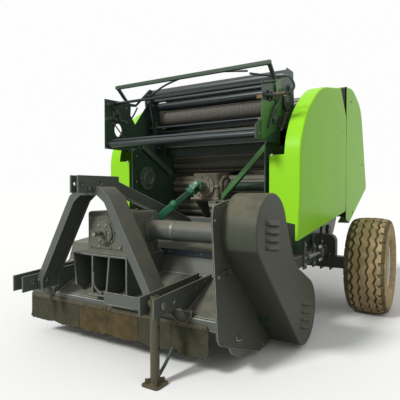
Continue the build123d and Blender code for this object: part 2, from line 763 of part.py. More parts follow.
box_left = HITCH_X + HEADER_BOX_WIDTH / 2
box_right = HITCH_X - HEADER_BOX_WIDTH / 2
with BuildPart() as cross_tube:
    with BuildSketch(side_view(box_left)):
        with Locations((y_at(TUBE_STATION), TUBE_Z)):
            Circle(TUBE_RADIUS)
    extrude(amount=HEADER_LEFT - box_left)
cross_tube.part.label = "cross_tube"
export_step(cross_tube.part, "parts/cross_tube.step")

# Two-lobed guard over the belt drive, on a plate that stands out ahead of it.
GUARD_SKIN = 4
UPPER_LOBE = ((-696, 782), (-562, 1097), (-252, 936))  # three points of an arc, (station, height)
WAIST = ((-140, 738), (-60, 636), (60, 566))
LOWER_LOBE = ((247, 477), (388, 228), (13, 71))
PLATE_OUTLINE = (
    (-814, 980),
    (-800, 1040),
    (-700, 1062),
    (-500, 1085),
    (-330, 1020),
    (-170, 760),
    (40, 540),
    (240, 440),
    (330, 300),
    (250, 110),
    (60, 50),
    (-173, 34),
    (-497, 151),
    (-727, 244),
    (-752, 288),
)

with BuildPart() as guard_plate:
    with BuildSketch(side_view(HEADER_LEFT)):
        with BuildLine():
            Polyline(*stations(*PLATE_OUTLINE), close=True)
        make_face()
        with Locations((y_at(ROTOR_STATION), ROTOR_Z)):
            Circle(ROTOR_SHAFT + SHAFT_GAP, mode=Mode.SUBTRACT)
    extrude(amount=GUARD_WALL)
guard_plate.part.label = "guard_plate"
export_step(guard_plate.part, "parts/guard_plate.step")

with BuildPart() as belt_guard:
    for inset, depth, mode in (
        (0, GUARD_OUT - HEADER_LEFT - GUARD_WALL, Mode.ADD),
        (GUARD_SKIN, GUARD_OUT - HEADER_LEFT - GUARD_WALL - GUARD_SKIN, Mode.SUBTRACT),
    ):
        with BuildSketch(side_view(HEADER_LEFT + GUARD_WALL)):
            with BuildLine():
                upper = stations(*UPPER_LOBE)
                waist = stations(*WAIST)
                lower = stations(*LOWER_LOBE)
                ThreePointArc(*upper)
                Line(upper[2], waist[0])
                ThreePointArc(*waist)
                Line(waist[2], lower[0])
                ThreePointArc(*lower)
                Line(lower[2], upper[0])
            make_face()
            if inset:
                offset(amount=-inset)
        extrude(amount=depth, mode=mode)
belt_guard.part.label = "belt_guard"
export_step(belt_guard.part, "parts/belt_guard.step")

# ---- flail rotor ---------------------------------------------------------------------
FLAIL_ROWS = 4
FLAILS_PER_ROW = 8
ROTOR_END_GAP = 12

rotor_right = end_inner_right + ROTOR_END_GAP
rotor_length = end_inner_left - ROTOR_END_GAP - rotor_right
flail_pitch = rotor_length / (FLAIL_ROWS * FLAILS_PER_ROW)

with BuildPart() as flail_rotor:
    with BuildSketch(side_view(rotor_right)):
        with Locations((y_at(ROTOR_STATION), ROTOR_Z)):
            Circle(ROTOR_TUBE)
    extrude(amount=rotor_length)
    with BuildSketch(side_view(HEADER_RIGHT - 20)):
        with Locations((y_at(ROTOR_STATION), ROTOR_Z)):
            Circle(ROTOR_SHAFT)
    extrude(amount=HEADER_LEFT - HEADER_RIGHT + 20 + GUARD_WALL + 120)
    for index in range(FLAIL_ROWS * FLAILS_PER_ROW):
        turn = 360 / FLAIL_ROWS * (index % FLAIL_ROWS)
        blade_x = rotor_right + (index + 0.5) * flail_pitch
        with BuildSketch(side_view(blade_x - 4)):
            with Locations(Location((y_at(ROTOR_STATION), ROTOR_Z), turn)):
                with Locations(((ROTOR_TUBE - 6 + ROTOR_REACH) / 2, 0)):
                    Rectangle(ROTOR_REACH - ROTOR_TUBE + 6, 46)
        extrude(amount=8)
flail_rotor.part.label = "flail_rotor"
export_step(flail_rotor.part, "parts/flail_rotor.step")

# ---- parking leg ---------------------------------------------------------------------
LEG_TUBE = 27.5
FOOT_SIZE = 120
FOOT_WALL = 12

leg_x = HITCH_X + LINK_HALF_SPREAD
leg_y = y_at(LEG_PIN_STATION)
with BuildPart() as parking_leg:
    with BuildSketch(Plane.XY):
        with Locations((leg_x, leg_y)):
            Rectangle(FOOT_SIZE, FOOT_SIZE)
    extrude(amount=FOOT_WALL)
    with BuildSketch(Plane.XY.offset(FOOT_WALL)):
        with Locations((leg_x, leg_y)):
            Circle(LEG_TUBE)
    extrude(amount=LINK_FRONT_HIGH - FOOT_WALL)
    pin_half = LINK_HALF_GAP + LINK_PLATE + 14
    with BuildSketch(side_view(leg_x - pin_half)):
        with Locations((leg_y, LINK_PIN_Z)):
            Circle(LINK_BORE - PIN_GAP)
    extrude(amount=2 * pin_half)
    with BuildSketch(side_view(leg_x - LINK_HALF_GAP + 2)):
        with Locations((leg_y, LINK_PIN_Z)):
            Circle(26)
    extrude(amount=2 * LINK_HALF_GAP - 4)
    stay_start = Vector(leg_x, leg_y + 20, 30)
    stay_end = Vector(leg_x, y_at(-702), 160)
    stay_run = stay_end - stay_start
    with BuildSketch(Plane(origin=stay_start, x_dir=(1, 0, 0), z_dir=stay_run.normalized())):
        Circle(9)
    extrude(amount=stay_run.length)
parking_leg.part.label = "parking_leg"
export_step(parking_leg.part, "parts/parking_leg.step")

# ---- ribbed rolls --------------------------------------------------------------------
ROLL_END_GAP = 6
SPROCKET_TEETH = 12
SPROCKET_RADIUS = 62


def rib_outline(middle):
    """Roll section: flats between raised ribs, as pressed into the sheet."""
    pitch = 360 / ROLL_RIBS
    core = ROLL_RADIUS - ROLL_RIB_HEIGHT
    points = []
    for rib in range(ROLL_RIBS):
        for share, radius in ((0.0, core), (0.34, core), (0.5, ROLL_RADIUS), (0.84, ROLL_RADIUS)):
            turn = radians((rib + share) * pitch)
            points.append((middle[0] + radius * cos(turn), middle[1] + radius * sin(turn)))
    return points


def star_outline(middle):
    """Sprocket section with pointed teeth."""
    points = []
    for tooth in range(2 * SPROCKET_TEETH):
        radius = SPROCKET_RADIUS if tooth % 2 else SPROCKET_RADIUS - 9
        turn = radians(tooth * 180 / SPROCKET_TEETH)
        points.append((middle[0] + radius * cos(turn), middle[1] + radius * sin(turn)))
    return points


rolls = [("front_roll", -1, angle) for angle in FRONT_ROLL_ANGLES]
rolls += [("tail_roll", 1, angle) for angle in TAIL_ROLL_ANGLES]
counts = {}
for family, direction, angle in rolls:
    counts[family] = counts.get(family, 0) + 1
    roll_name = f"{family}_{counts[family]}"
    middle = on_ring(ROLL_CIRCLE, angle, direction)
    with BuildPart() as roll:
        with BuildSketch(side_view(-HALF_WIDTH + ROLL_END_GAP)):
            with BuildLine():
                Polyline(*rib_outline(middle), close=True)
            make_face()
        extrude(amount=2 * (HALF_WIDTH - ROLL_END_GAP))
        shaft_right = -plate_out - SPROCKET_OUT - SPROCKET_WALL
        with BuildSketch(side_view(shaft_right)):
            with Locations(middle):
                Circle(ROLL_SHAFT)
        extrude(amount=plate_out + BEARING_DEPTH - shaft_right)
        with BuildSketch(side_view(-plate_out - SPROCKET_OUT)):
            with BuildLine():
                Polyline(*star_outline(middle), close=True)
            make_face()
        extrude(amount=-SPROCKET_WALL)
    roll.part.label = roll_name
    export_step(roll.part, f"parts/{roll_name}.step")

# ---- tail: side plates, cross tubes, covers ------------------------------------------
TAIL_FRONT = SPLIT_STATION + SPLIT_GAP
TAIL_BOTTOM = FRAME_BOTTOM + 10
EYE_BOSS = 30
EYE_HALF = 18
EYE_GAP = 2
TAIL_TUBE = 30
TAIL_TUBE_ANGLES = (60, 120)  # from straight up

tail_low = sqrt(TAIL_RADIUS**2 - (CHAMBER_Z - TAIL_BOTTOM) ** 2)
tail_high = sqrt(TAIL_RADIUS**2 - (TAIL_FRONT + 60 - CHAMBER_STATION) ** 2)

for side, sign in SIDES:
    with BuildPart() as tail_side:
        with BuildSketch(side_view(sign * HALF_WIDTH)):
            low_end = (y_at(CHAMBER_STATION) + tail_low, TAIL_BOTTOM)
            high_end = (y_at(TAIL_FRONT + 60), CHAMBER_Z + tail_high)
            with BuildLine():
                Polyline(
                    low_end,
                    (y_at(TAIL_FRONT), TAIL_BOTTOM),
                    (y_at(TAIL_FRONT), HINGE_Z - 90),
                    (y_at(HINGE_STATION), HINGE_Z - EAR_RADIUS),
                    (y_at(HINGE_STATION), HINGE_Z + EAR_RADIUS),
                    high_end,
                )
                ThreePointArc(high_end, on_ring(TAIL_RADIUS, 90, 1), low_end)
            make_face()
            with Locations((y_at(HINGE_STATION), HINGE_Z)):
                Circle(EAR_RADIUS)
        extrude(amount=sign * SIDE_WALL)
        with BuildSketch(side_view(sign * plate_out)):
            for angle in TAIL_ROLL_ANGLES:
                with Locations(on_ring(ROLL_CIRCLE, angle, 1)):
                    RegularPolygon(BEARING_RADIUS, 8)
        extrude(amount=sign * BEARING_DEPTH)
        # Boss that the cylinder's rod eye stands against.
        with BuildSketch(side_view(sign * plate_out)):
            with Locations((y_at(CYLINDER_EYE[0]), CYLINDER_EYE[1])):
                Circle(EYE_BOSS)
        extrude(amount=sign * (CYLINDER_IN - EYE_HALF - EYE_GAP))
        with BuildSketch(side_view(sign * (HALF_WIDTH - 1))):
            for angle in TAIL_ROLL_ANGLES:
                with Locations(on_ring(ROLL_CIRCLE, angle, 1)):
                    Circle(ROLL_SHAFT + SHAFT_GAP)
            with Locations((y_at(HINGE_STATION), HINGE_Z)):
                Circle(HINGE_PIN + PIN_GAP)
        extrude(amount=sign * (SIDE_WALL + BEARING_DEPTH + 2), mode=Mode.SUBTRACT)
    tail_side.part.label = f"tail_side_{side}"
    export_step(tail_side.part, f"parts/tail_side_{side}.step")

with BuildPart() as tail_tubes:
    with BuildSketch(side_view(-HALF_WIDTH)):
        for angle in TAIL_TUBE_ANGLES:
            with Locations(on_ring(TAIL_RADIUS - TAIL_TUBE - 4, angle, 1)):
                Circle(TAIL_TUBE)
    extrude(amount=2 * HALF_WIDTH)
tail_tubes.part.label = "tail_tubes"
export_step(tail_tubes.part, "parts/tail_tubes.step")

# Side covers: a flat side skin with a folded rim along its front, top and rear edges.
COVER_FRONT = 0
COVER_TOP = ((COVER_FRONT, 780), (COVER_FRONT, 1460), (147, 1690), (480, 1930), (1190, 2065))
COVER_LOW = ((1180, 2063), (1350, 1830), (1350, 925))
FACE_TOP = 1440
TAIL_COVER_FRONT = 1365
TAIL_COVER_RIM = ((TAIL_COVER_FRONT, 2110), (1630, 2140), (2050, 2020), (TAIL_REAR, 1145), (1520, 800))
BRACKET_RADIUS = 18
DOOR_BRACKETS = (1000, 1700)
DOOR_PIN = 4
DOOR_KNUCKLE = 40
KNUCKLE_RADIUS = 8
TAIL_BRACKETS = ((1560, 2000), (2090, 1400), (1640, 900))

for side, sign in SIDES:
    with BuildPart() as front_cover:
        skin_x = sign * (COVER_X - COVER_WALL)
        with BuildSketch(side_view(skin_x)):
            with BuildLine():
                Polyline(*stations(*COVER_TOP, *COVER_LOW[1:]), close=True)
            make_face()
        extrude(amount=sign * COVER_WALL)
        # Folded front face and curved top strip.
        with BuildSketch(side_view(skin_x)):
            with BuildLine():
                Polyline(*band(stations(*COVER_TOP), COVER_WALL), close=True)
            make_face()
        extrude(amount=-sign * (COVER_STRIP - COVER_WALL))
        with BuildSketch(side_view(skin_x)):
            with BuildLine():
                low_face = stations((COVER_FRONT, 907), (COVER_FRONT, FACE_TOP))
                Polyline(*band(low_face, COVER_WALL), close=True)
            make_face()
        extrude(amount=-sign * (COVER_FACE - COVER_WALL))
        # Lift-off hinge knuckles on the rear edge, inside the skin.
        for bracket_z in DOOR_BRACKETS:
            with BuildSketch(Plane.XY.offset(bracket_z + 20)):
                with Locations((sign * DOOR_HINGE_X, y_at(DOOR_HINGE_STATION))):
                    RegularPolygon(KNUCKLE_RADIUS, 8)
                with Locations((sign * (DOOR_HINGE_X + 7), y_at(DOOR_HINGE_STATION))):
                    Rectangle(12, KNUCKLE_RADIUS)
                with Locations((sign * DOOR_HINGE_X, y_at(DOOR_HINGE_STATION))):
                    Circle(DOOR_PIN + PIN_GAP, mode=Mode.SUBTRACT)
            extrude(amount=DOOR_KNUCKLE)
    front_cover.part.label = f"front_cover_{side}"
    export_step(front_cover.part, f"parts/front_cover_{side}.step")

    with BuildPart() as tail_cover:
        with BuildSketch(side_view(skin_x)):
            with BuildLine():
                Polyline(*stations(*TAIL_COVER_RIM, (TAIL_COVER_FRONT, 850)), close=True)
            make_face()
        extrude(amount=sign * COVER_WALL)
        with BuildSketch(side_view(skin_x)):
            with BuildLine():
                Polyline(*band(stations(*TAIL_COVER_RIM), COVER_WALL), close=True)
            make_face()
        extrude(amount=-sign * (COVER_STRIP - COVER_WALL))
        with BuildSketch(side_view(sign * plate_out)):
            for station, height in TAIL_BRACKETS:
                with Locations((y_at(station), height)):
                    Circle(BRACKET_RADIUS)
        extrude(amount=sign * (COVER_X - COVER_WALL - plate_out))
    tail_cover.part.label = f"tail_cover_{side}"
    export_step(tail_cover.part, f"parts/tail_cover_{side}.step")

with BuildPart() as cover_brackets:
    for sign in (1, -1):
        for bracket_z in DOOR_BRACKETS:
            with BuildSketch(Plane.XY.offset(bracket_z)):
                with Locations((sign * DOOR_HINGE_X, y_at(DOOR_HINGE_STATION))):
                    Circle(DOOR_PIN)
            extrude(amount=20 + DOOR_KNUCKLE)
            with BuildSketch(Plane.XY.offset(bracket_z - 19)):
                with Locations((sign * DOOR_HINGE_X, y_at(DOOR_HINGE_STATION))):
                    RegularPolygon(KNUCKLE_RADIUS, 8)
                arm_mid = (plate_out + DOOR_HINGE_X) / 2
                with Locations((sign * arm_mid, y_at(DOOR_HINGE_STATION) - 2)):
                    Rectangle(DOOR_HINGE_X - plate_out, 12)
            extrude(amount=38)
cover_brackets.part.label = "cover_brackets"
export_step(cover_brackets.part, "parts/cover_brackets.step")

# ---- tail cylinders ------------------------------------------------------------------
ROD_RADIUS = 17
BARREL_LENGTH = 520

base = Vector(0, y_at(CYLINDER_BASE[0]), CYLINDER_BASE[1])
eye = Vector(0, y_at(CYLINDER_EYE[0]), CYLINDER_EYE[1])
reach = eye - base
with BuildPart() as barrels:
    for sign in (1, -1):
        cylinder_x = sign * (plate_out + CYLINDER_IN)
        start = Plane(origin=base + Vector(cylinder_x, 0, 0), x_dir=(1, 0, 0), z_dir=reach.normalized())
        with BuildSketch(start.offset(30)):
            Circle(BARREL_RADIUS)
        extrude(amount=BARREL_LENGTH)
        with BuildSketch(side_view(cylinder_x - EYE_HALF)):
            with Locations((base.Y, base.Z)):
                Circle(30)
        extrude(amount=2 * EYE_HALF)
        with BuildSketch(side_view(cylinder_x - EYE_HALF)):
            with Locations((base.Y, base.Z)):
                Circle(15 + PIN_GAP)
        extrude(amount=2 * EYE_HALF, mode=Mode.SUBTRACT)
        with BuildSketch(start.offset(60)):
            Circle(ROD_RADIUS + PIN_GAP)
        extrude(amount=BARREL_LENGTH, mode=Mode.SUBTRACT)
barrels.part.label = "barrels"
export_step(barrels.part, "parts/barrels.step")

with BuildPart() as rods:
    for sign in (1, -1):
        cylinder_x = sign * (plate_out + CYLINDER_IN)
        start = Plane(origin=base + Vector(cylinder_x, 0, 0), x_dir=(1, 0, 0), z_dir=reach.normalized())
        with BuildSketch(start.offset(80)):
            Circle(ROD_RADIUS)
        extrude(amount=reach.length - 80)
        with BuildSketch(side_view(cylinder_x - EYE_HALF)):
            with Locations((eye.Y, eye.Z)):
                Circle(28)
        extrude(amount=2 * EYE_HALF)
rods.part.label = "rods"
export_step(rods.part, "parts/rods.step")

# ---- net wrap unit -------------------------------------------------------------------
NET_WALL = 6
NET_LEFT_X = 645
NET_RIGHT_X = -706
NET_SPACERS = ((60, 1480), (170, 1520))
NET_FRONTS = {"left": -130, "right": -240}
NET_TUBES = (  # station, height, radius
    (-190, 1505, 24),
    (-110, 1862, 12),
    (420, 2025, 55),
)
NET_ROLLS = (  # station, height, radius
    (450, 1800, 72),
    (440, 1915, 38),
)
RAIL_SIZE = 28
RAIL_STATION = -210
RAIL_Z = 1960
RAIL_ENDS = (-600, 745)

for side, sign in SIDES:
    inner_x = NET_LEFT_X if sign > 0 else NET_RIGHT_X + NET_WALL
    net_front = NET_FRONTS[side]
    with BuildPart() as net_plate:
        with BuildSketch(side_view(inner_x)):
            with BuildLine():
                Polyline(
                    *stations(
                        (-240, 1470),
                        (-240, 1560),
                        (net_front, 1620),
                        (net_front, 1880),
                        (150, 1900),
                        (350, 2075),
                        (490, 2075),
                        (525, 1700),
                        (210, 1580),
                        (210, 1470),
                    ),
                    close=True,
                )
            make_face()
        extrude(amount=sign * NET_WALL)
        with BuildSketch(side_view(sign * plate_out)):
            for station, height in NET_SPACERS:
                with Locations((y_at(station), height)):
                    Circle(16)
        extrude(amount=inner_x - sign * plate_out)
    net_plate.part.label = f"net_plate_{side}"
    export_step(net_plate.part, f"parts/net_plate_{side}.step")

net_span_left = NET_LEFT_X
net_span_right = NET_RIGHT_X + NET_WALL
with BuildPart() as net_tubes:
    with BuildSketch(side_view(net_span_right)):
        for station, height, radius in NET_TUBES:
            with Locations((y_at(station), height)):
                Circle(radius)
    extrude(amount=net_span_left - net_span_right)
net_tubes.part.label = "net_tubes"
export_step(net_tubes.part, "parts/net_tubes.step")

with BuildPart() as net_rolls:
    with BuildSketch(side_view(net_span_right)):
        for station, height, radius in NET_ROLLS:
            with Locations((y_at(station), height)):
                Circle(radius)
    extrude(amount=net_span_left - net_span_right)
net_rolls.part.label = "net_rolls"
export_step(net_rolls.part, "parts/net_rolls.step")

with BuildPart() as top_rail:
    rail_right, rail_left = RAIL_ENDS
    with BuildSketch(side_view(rail_right)):
        with Locations((y_at(RAIL_STATION), RAIL_Z)):
            Rectangle(RAIL_SIZE, RAIL_SIZE)
    extrude(amount=rail_left - rail_right)
    foot_station, foot_z, foot_radius = NET_TUBES[1]
    for post_x in (rail_right, rail_left - RAIL_SIZE):
        with BuildSketch(side_view(post_x)):
            with BuildLine():
                Polyline(
                    *stations(
                        (RAIL_STATION - RAIL_SIZE / 2, RAIL_Z),
                        (RAIL_STATION + RAIL_SIZE / 2, RAIL_Z),
                        (foot_station + foot_radius, foot_z + foot_radius),
                        (foot_station - foot_radius, foot_z + foot_radius),
                    ),
                    close=True,
                )
            make_face()
        extrude(amount=RAIL_SIZE)
    # Stub that carries the left post outside its net plate.
    with BuildSketch(side_view(NET_LEFT_X + NET_WALL)):
        with Locations((y_at(foot_station), foot_z)):
            Circle(foot_radius)
    extrude(amount=rail_left - NET_LEFT_X - NET_WALL)
top_rail.part.label = "top_rail"
export_step(top_rail.part, "parts/top_rail.step")
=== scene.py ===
"""Looks for a round baler with a flail pick-up header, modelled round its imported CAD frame."""

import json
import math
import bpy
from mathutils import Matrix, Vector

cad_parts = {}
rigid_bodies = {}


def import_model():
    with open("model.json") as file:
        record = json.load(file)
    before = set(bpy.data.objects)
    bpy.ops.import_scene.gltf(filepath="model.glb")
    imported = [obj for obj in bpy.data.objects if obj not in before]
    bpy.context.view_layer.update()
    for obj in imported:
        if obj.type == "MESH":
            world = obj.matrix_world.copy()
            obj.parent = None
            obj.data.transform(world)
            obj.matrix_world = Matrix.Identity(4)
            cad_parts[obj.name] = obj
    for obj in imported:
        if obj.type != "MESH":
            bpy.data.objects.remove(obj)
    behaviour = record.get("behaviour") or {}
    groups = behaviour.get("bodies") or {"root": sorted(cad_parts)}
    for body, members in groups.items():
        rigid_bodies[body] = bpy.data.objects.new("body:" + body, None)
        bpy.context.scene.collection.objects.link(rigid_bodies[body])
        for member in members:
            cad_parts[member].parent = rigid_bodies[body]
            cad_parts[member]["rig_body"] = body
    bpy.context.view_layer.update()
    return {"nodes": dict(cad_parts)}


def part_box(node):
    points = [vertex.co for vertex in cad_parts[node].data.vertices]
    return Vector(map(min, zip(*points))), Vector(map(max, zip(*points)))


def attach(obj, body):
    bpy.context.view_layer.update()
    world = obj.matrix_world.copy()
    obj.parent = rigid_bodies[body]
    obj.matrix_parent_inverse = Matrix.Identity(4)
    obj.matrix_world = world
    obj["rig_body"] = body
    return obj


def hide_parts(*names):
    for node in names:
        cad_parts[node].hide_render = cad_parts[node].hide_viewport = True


bl_info = {
    "name": "Round baler looks", "version": (1, 0, 0), "blender": (4, 5, 0),
    "location": "View3D > Sidebar > Baler",
    "description": "Models and finishes the pieces of a round baler round its CAD frame",
    "category": "Add Mesh",
}

from functools import partial

import bmesh
import bpy
from bpy.props import FloatProperty, IntProperty, PointerProperty, StringProperty
from bpy.types import Operator, Panel, PropertyGroup
from mathutils import Matrix, Vector, noise

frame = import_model()

# The side covers' front edge is station zero, and every station is measured rearwards from it.
STATION_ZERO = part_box("front_cover_left")[0].y
HITCH_X = sum(corner.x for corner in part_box("rear_strut")) / 2
PLATE_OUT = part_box("feed_floor")[1].x + 0.008
SIDES = (("left", 1), ("right", -1))
LINK_LEFT, LINK_RIGHT = 0.311, -0.841  # lower link lines
ACROSS, BACK, UP = Vector((1, 0, 0)), Vector((0, 1, 0)), Vector((0, 0, 1))
FORWARD = -BACK


def at(x, station, z):
    """Point of the machine from its station."""
    return Vector((x, STATION_ZERO + station, z))


# ---- sizes and colours that a user would change --------------------------------------


class BalerSizes(PropertyGroup):
    """Sizes of the detail that the looks add."""

    edge_radius: FloatProperty(
        name="Plate edge", description="Rounding of cut plate edges", default=0.0022, unit="LENGTH",
    )
    fold_radius: FloatProperty(
        name="Cover fold", description="Bend radius of the side covers' folds", default=0.014,
        unit="LENGTH",
    )
    tread_depth: FloatProperty(
        name="Tread depth", description="Depth of the tyres' grooves", default=0.017, unit="LENGTH",
    )
    tread_pitches: IntProperty(
        name="Tread pitches", description="Shoulder lugs round each tyre", default=28, min=12, max=60,
    )
    chain_pitch: FloatProperty(
        name="Chain pitch", description="Pitch of the roller chains", default=0.01905, unit="LENGTH",
    )
    weld_radius: FloatProperty(
        name="Weld", description="Half width of a weld bead", default=0.005, unit="LENGTH",
    )


class BalerColours(PropertyGroup):
    """Colours as sRGB hex codes."""

    lime: StringProperty(name="Covers", description="Enamel of the side covers", default="#96DB2C")
    frame_paint: StringProperty(
        name="Frame", description="Paint of the header and hitch", default="#545B55",
    )
    dark_paint: StringProperty(name="Chamber", description="Paint of the bale chamber", default="#334E3B")
    green_paint: StringProperty(name="Brace and plate", description="Mid green paint", default="#41783A")
    casting: StringProperty(name="Gearboxes", description="Dusty cast iron", default="#67655A")
    dust: StringProperty(name="Dust", description="Dry field dust", default="#857B64")
    tyre: StringProperty(name="Tyres", description="Dusty tyre rubber", default="#8C7E58")
    flaps: StringProperty(name="Curtain", description="Dusty rubber sheet", default="#2F2C1B")
    rim: StringProperty(name="Rims", description="Pale wheel enamel", default="#E4E5DC")
    netting: StringProperty(name="Net", description="Wound net wrap", default="#6E6B61")


# ---- finishes ------------------------------------------------------------------------

finishes = {}


def linear(code):
    """Linear colour of an sRGB hex code."""
    parts = [int(code[index : index + 2], 16) / 255 for index in (1, 3, 5)]
    return tuple(c / 12.92 if c <= 0.04045 else ((c + 0.055) / 1.055) ** 2.4 for c in parts) + (1.0,)


def mix_hex(first, second, share):
    """Hex code part of the way from one colour to another."""
    pairs = [(int(first[i : i + 2], 16), int(second[i : i + 2], 16)) for i in (1, 3, 5)]
    return "#" + "".join(f"{round(a + (b - a) * share):02X}" for a, b in pairs)


def per_metre(millimetres):
    """Texture scale whose pattern repeats about every so many millimetres."""
    return 1000 / millimetres


def add_node(tree, kind, inputs=None, **settings):
    """Adds a shader node. inputs holds socket values, or (node, output) pairs to link."""
    node = tree.nodes.new("ShaderNode" + kind)
    for name, value in settings.items():
        setattr(node, name, value)
    for socket, value in (inputs or {}).items():
        if isinstance(value, tuple) and isinstance(value[0], bpy.types.Node):
            tree.links.new(value[0].outputs[value[1]], node.inputs[socket])
        else:
            node.inputs[socket].default_value = value
    return node


def start_finish(name):
    """Material with an empty tree, its add-node call and its texture coordinates."""
    material = bpy.data.materials.new(name)
    material.use_nodes = True
    material.node_tree.nodes.clear()
    add = partial(add_node, material.node_tree)
    return material, add, add("TexCoord")


def close_finish(material, add, inputs):
    """Ends a finish with its shader and output, and keeps it under its name."""
    add("OutputMaterial", {"Surface": (add("BsdfPrincipled", inputs), "BSDF")})
    finishes[material.name] = material
    return material


def coated_steel(name, paint, faded, dust, dusty, gloss, peel=1.5, bare=None, streaks=0.0, shine=0.4):
    """Painted steel plate.

    Sprayed enamel shows an orange-peel ripple of one or two millimetres and fades in soft patches.
    Dry dust lies thickest on what faces up, in blotches a hand wide, and clings in runs down what
    stands upright. Where bare is given, the paint is rubbed through to steel in small chips.
    """
    material, add, place = start_finish(name)
    spot = (place, "Object")
    patches = add("TexNoise", {"Vector": spot, "Scale": per_metre(260), "Detail": 4.0, "Roughness": 0.6})
    ground = add("Mix", {"Factor": (patches, 0), 6: linear(paint), 7: linear(faded)}, data_type="RGBA")
    # Which way the surface faces, in its own piece, so that dust keeps its place as the piece turns.
    facing = add("SeparateXYZ", {0: (place, "Normal")})
    lying = {0: (facing, "Z"), 1: -0.1, 2: 0.85, 3: 0.07, 4: 1.0}
    level = add("MapRange", lying, interpolation_type="SMOOTHSTEP")
    blotches = add("TexNoise", {"Vector": spot, "Scale": per_metre(90), "Detail": 8.0, "Roughness": 0.68})
    settled = add("MapRange", {0: (blotches, 0), 1: 0.3, 2: 0.72, 3: 0.0, 4: 1.0})
    cover = add("Math", {0: (level, 0), 1: (settled, 0)}, operation="MULTIPLY")
    amount = add("Math", {0: (cover, 0), 1: dusty}, operation="MULTIPLY", use_clamp=True)
    if streaks:
        stretched = add("Mapping", {"Vector": spot, "Scale": (1.0, 1.0, 0.08)})
        ran = {"Vector": (stretched, 0), "Scale": per_metre(22), "Detail": 3.0, "Roughness": 0.5}
        thin = add("MapRange", {0: (add("TexNoise", ran), 0), 1: 0.5, 2: 0.75, 3: 0.0, 4: streaks})
        amount = add("Math", {0: (amount, 0), 1: (thin, 0)}, operation="ADD", use_clamp=True)
    colour = add("Mix", {"Factor": (amount, 0), 6: (ground, 2), 7: linear(dust)}, data_type="RGBA")
    if bare:
        chips = add("TexNoise", {"Vector": spot, "Scale": per_metre(11), "Detail": 6.0, "Roughness": 0.7})
        rubbed = add("MapRange", {0: (chips, 0), 1: 0.42, 2: 0.6, 3: 0.0, 4: 0.85})
        colour = add("Mix", {"Factor": (rubbed, 0), 6: (colour, 2), 7: linear(bare)}, data_type="RGBA")
    dull = add("MapRange", {0: (amount, 0), 1: 0.0, 2: 0.8, 3: gloss, 4: 0.85})
    ripple = add("TexNoise", {"Vector": spot, "Scale": per_metre(peel), "Detail": 2.0})
    grit = add("Math", {0: (ripple, 0), 1: (blotches, 0)}, operation="ADD")
    relief = add("Bump", {"Strength": 0.16, "Distance": 0.0009, "Height": (grit, 0)})
    sheen = add("MapRange", {0: (amount, 0), 1: 0.0, 2: 0.6, 3: shine, 4: 0.1})
    made = {
        "Base Color": (colour, 2), "Roughness": (dull, 0), "Normal": (relief, 0),
        "Specular IOR Level": (sheen, 0),
    }
    return close_finish(material, add, made)


def sand_casting(name, iron, dust):
    """Painted grey iron, sand cast: a pebbled skin of two to three millimetres under greasy dust."""
    material, add, place = start_finish(name)
    spot = (place, "Object")
    stains = add("TexNoise", {"Vector": spot, "Scale": per_metre(70), "Detail": 7.0, "Roughness": 0.65})
    ramp = add("MapRange", {0: (stains, 0), 1: 0.32, 2: 0.68, 3: 0.0, 4: 1.0})
    colour = add("Mix", {"Factor": (ramp, 0), 6: linear(iron), 7: linear(dust)}, data_type="RGBA")
    skin = add("TexVoronoi", {"Vector": spot, "Scale": per_metre(2.6)}, feature="SMOOTH_F1")
    rough = add("MapRange", {0: (stains, 0), 1: 0.3, 2: 0.7, 3: 0.48, 4: 0.9})
    relief = add("Bump", {"Strength": 0.35, "Distance": 0.0008, "Height": (skin, 0)})
    made = {"Base Color": (colour, 2), "Roughness": (rough, 0), "Normal": (relief, 0)}
    return close_finish(material, add, made)


def dusty_rubber(name, rubber, dust, low, high, grain=4.0, reach=45):
    """Cured rubber that has run on dry ground: matt, paler where dust is ground in, darker in patches."""
    material, add, place = start_finish(name)
    spot = (place, "Object")
    clouds = add("TexNoise", {"Vector": spot, "Scale": per_metre(reach), "Detail": 9.0, "Roughness": 0.62})
    ramp = add("MapRange", {0: (clouds, 0), 1: 0.3, 2: 0.7, 3: low, 4: high})
    colour = add("Mix", {"Factor": (ramp, 0), 6: linear(rubber), 7: linear(dust)}, data_type="RGBA")
    pores = add("TexNoise", {"Vector": spot, "Scale": per_metre(grain), "Detail": 5.0, "Roughness": 0.6})
    relief = add("Bump", {"Strength": 0.4, "Distance": 0.0012, "Height": (pores, 0)})
    made = {"Base Color": (colour, 2), "Normal": (relief, 0), "Roughness": 0.88, "Specular IOR Level": 0.3}
    return close_finish(material, add, made)


def bare_steel(name, steel, stain, shine, brushed=0.35):
    """Machined or rubbed steel: drawn marks of a third of a millimetre, shown coarser, and brown stain."""
    material, add, place = start_finish(name)
    spot = (place, "Object")
    drawn = add("Mapping", {"Vector": spot, "Scale": (0.1, 1.0, 1.0)})
    marks = add("TexNoise", {"Vector": (drawn, 0), "Scale": per_metre(brushed * 4), "Detail": 3.0})
    spots = add("TexNoise", {"Vector": spot, "Scale": per_metre(25), "Detail": 7.0, "Roughness": 0.7})
    ramp = add("MapRange", {0: (spots, 0), 1: 0.45, 2: 0.7, 3: 0.0, 4: 1.0})
    colour = add("Mix", {"Factor": (ramp, 0), 6: linear(steel), 7: linear(stain)}, data_type="RGBA")
    rough = add("MapRange", {0: (spots, 0), 1: 0.3, 2: 0.7, 3: shine, 4: shine + 0.3})
    relief = add("Bump", {"Strength": 0.12, "Distance": 0.0004, "Height": (marks, 0)})
    made = {"Base Color": (colour, 2), "Roughness": (rough, 0), "Normal": (relief, 0), "Metallic": 0.85}
    return close_finish(material, add, made)


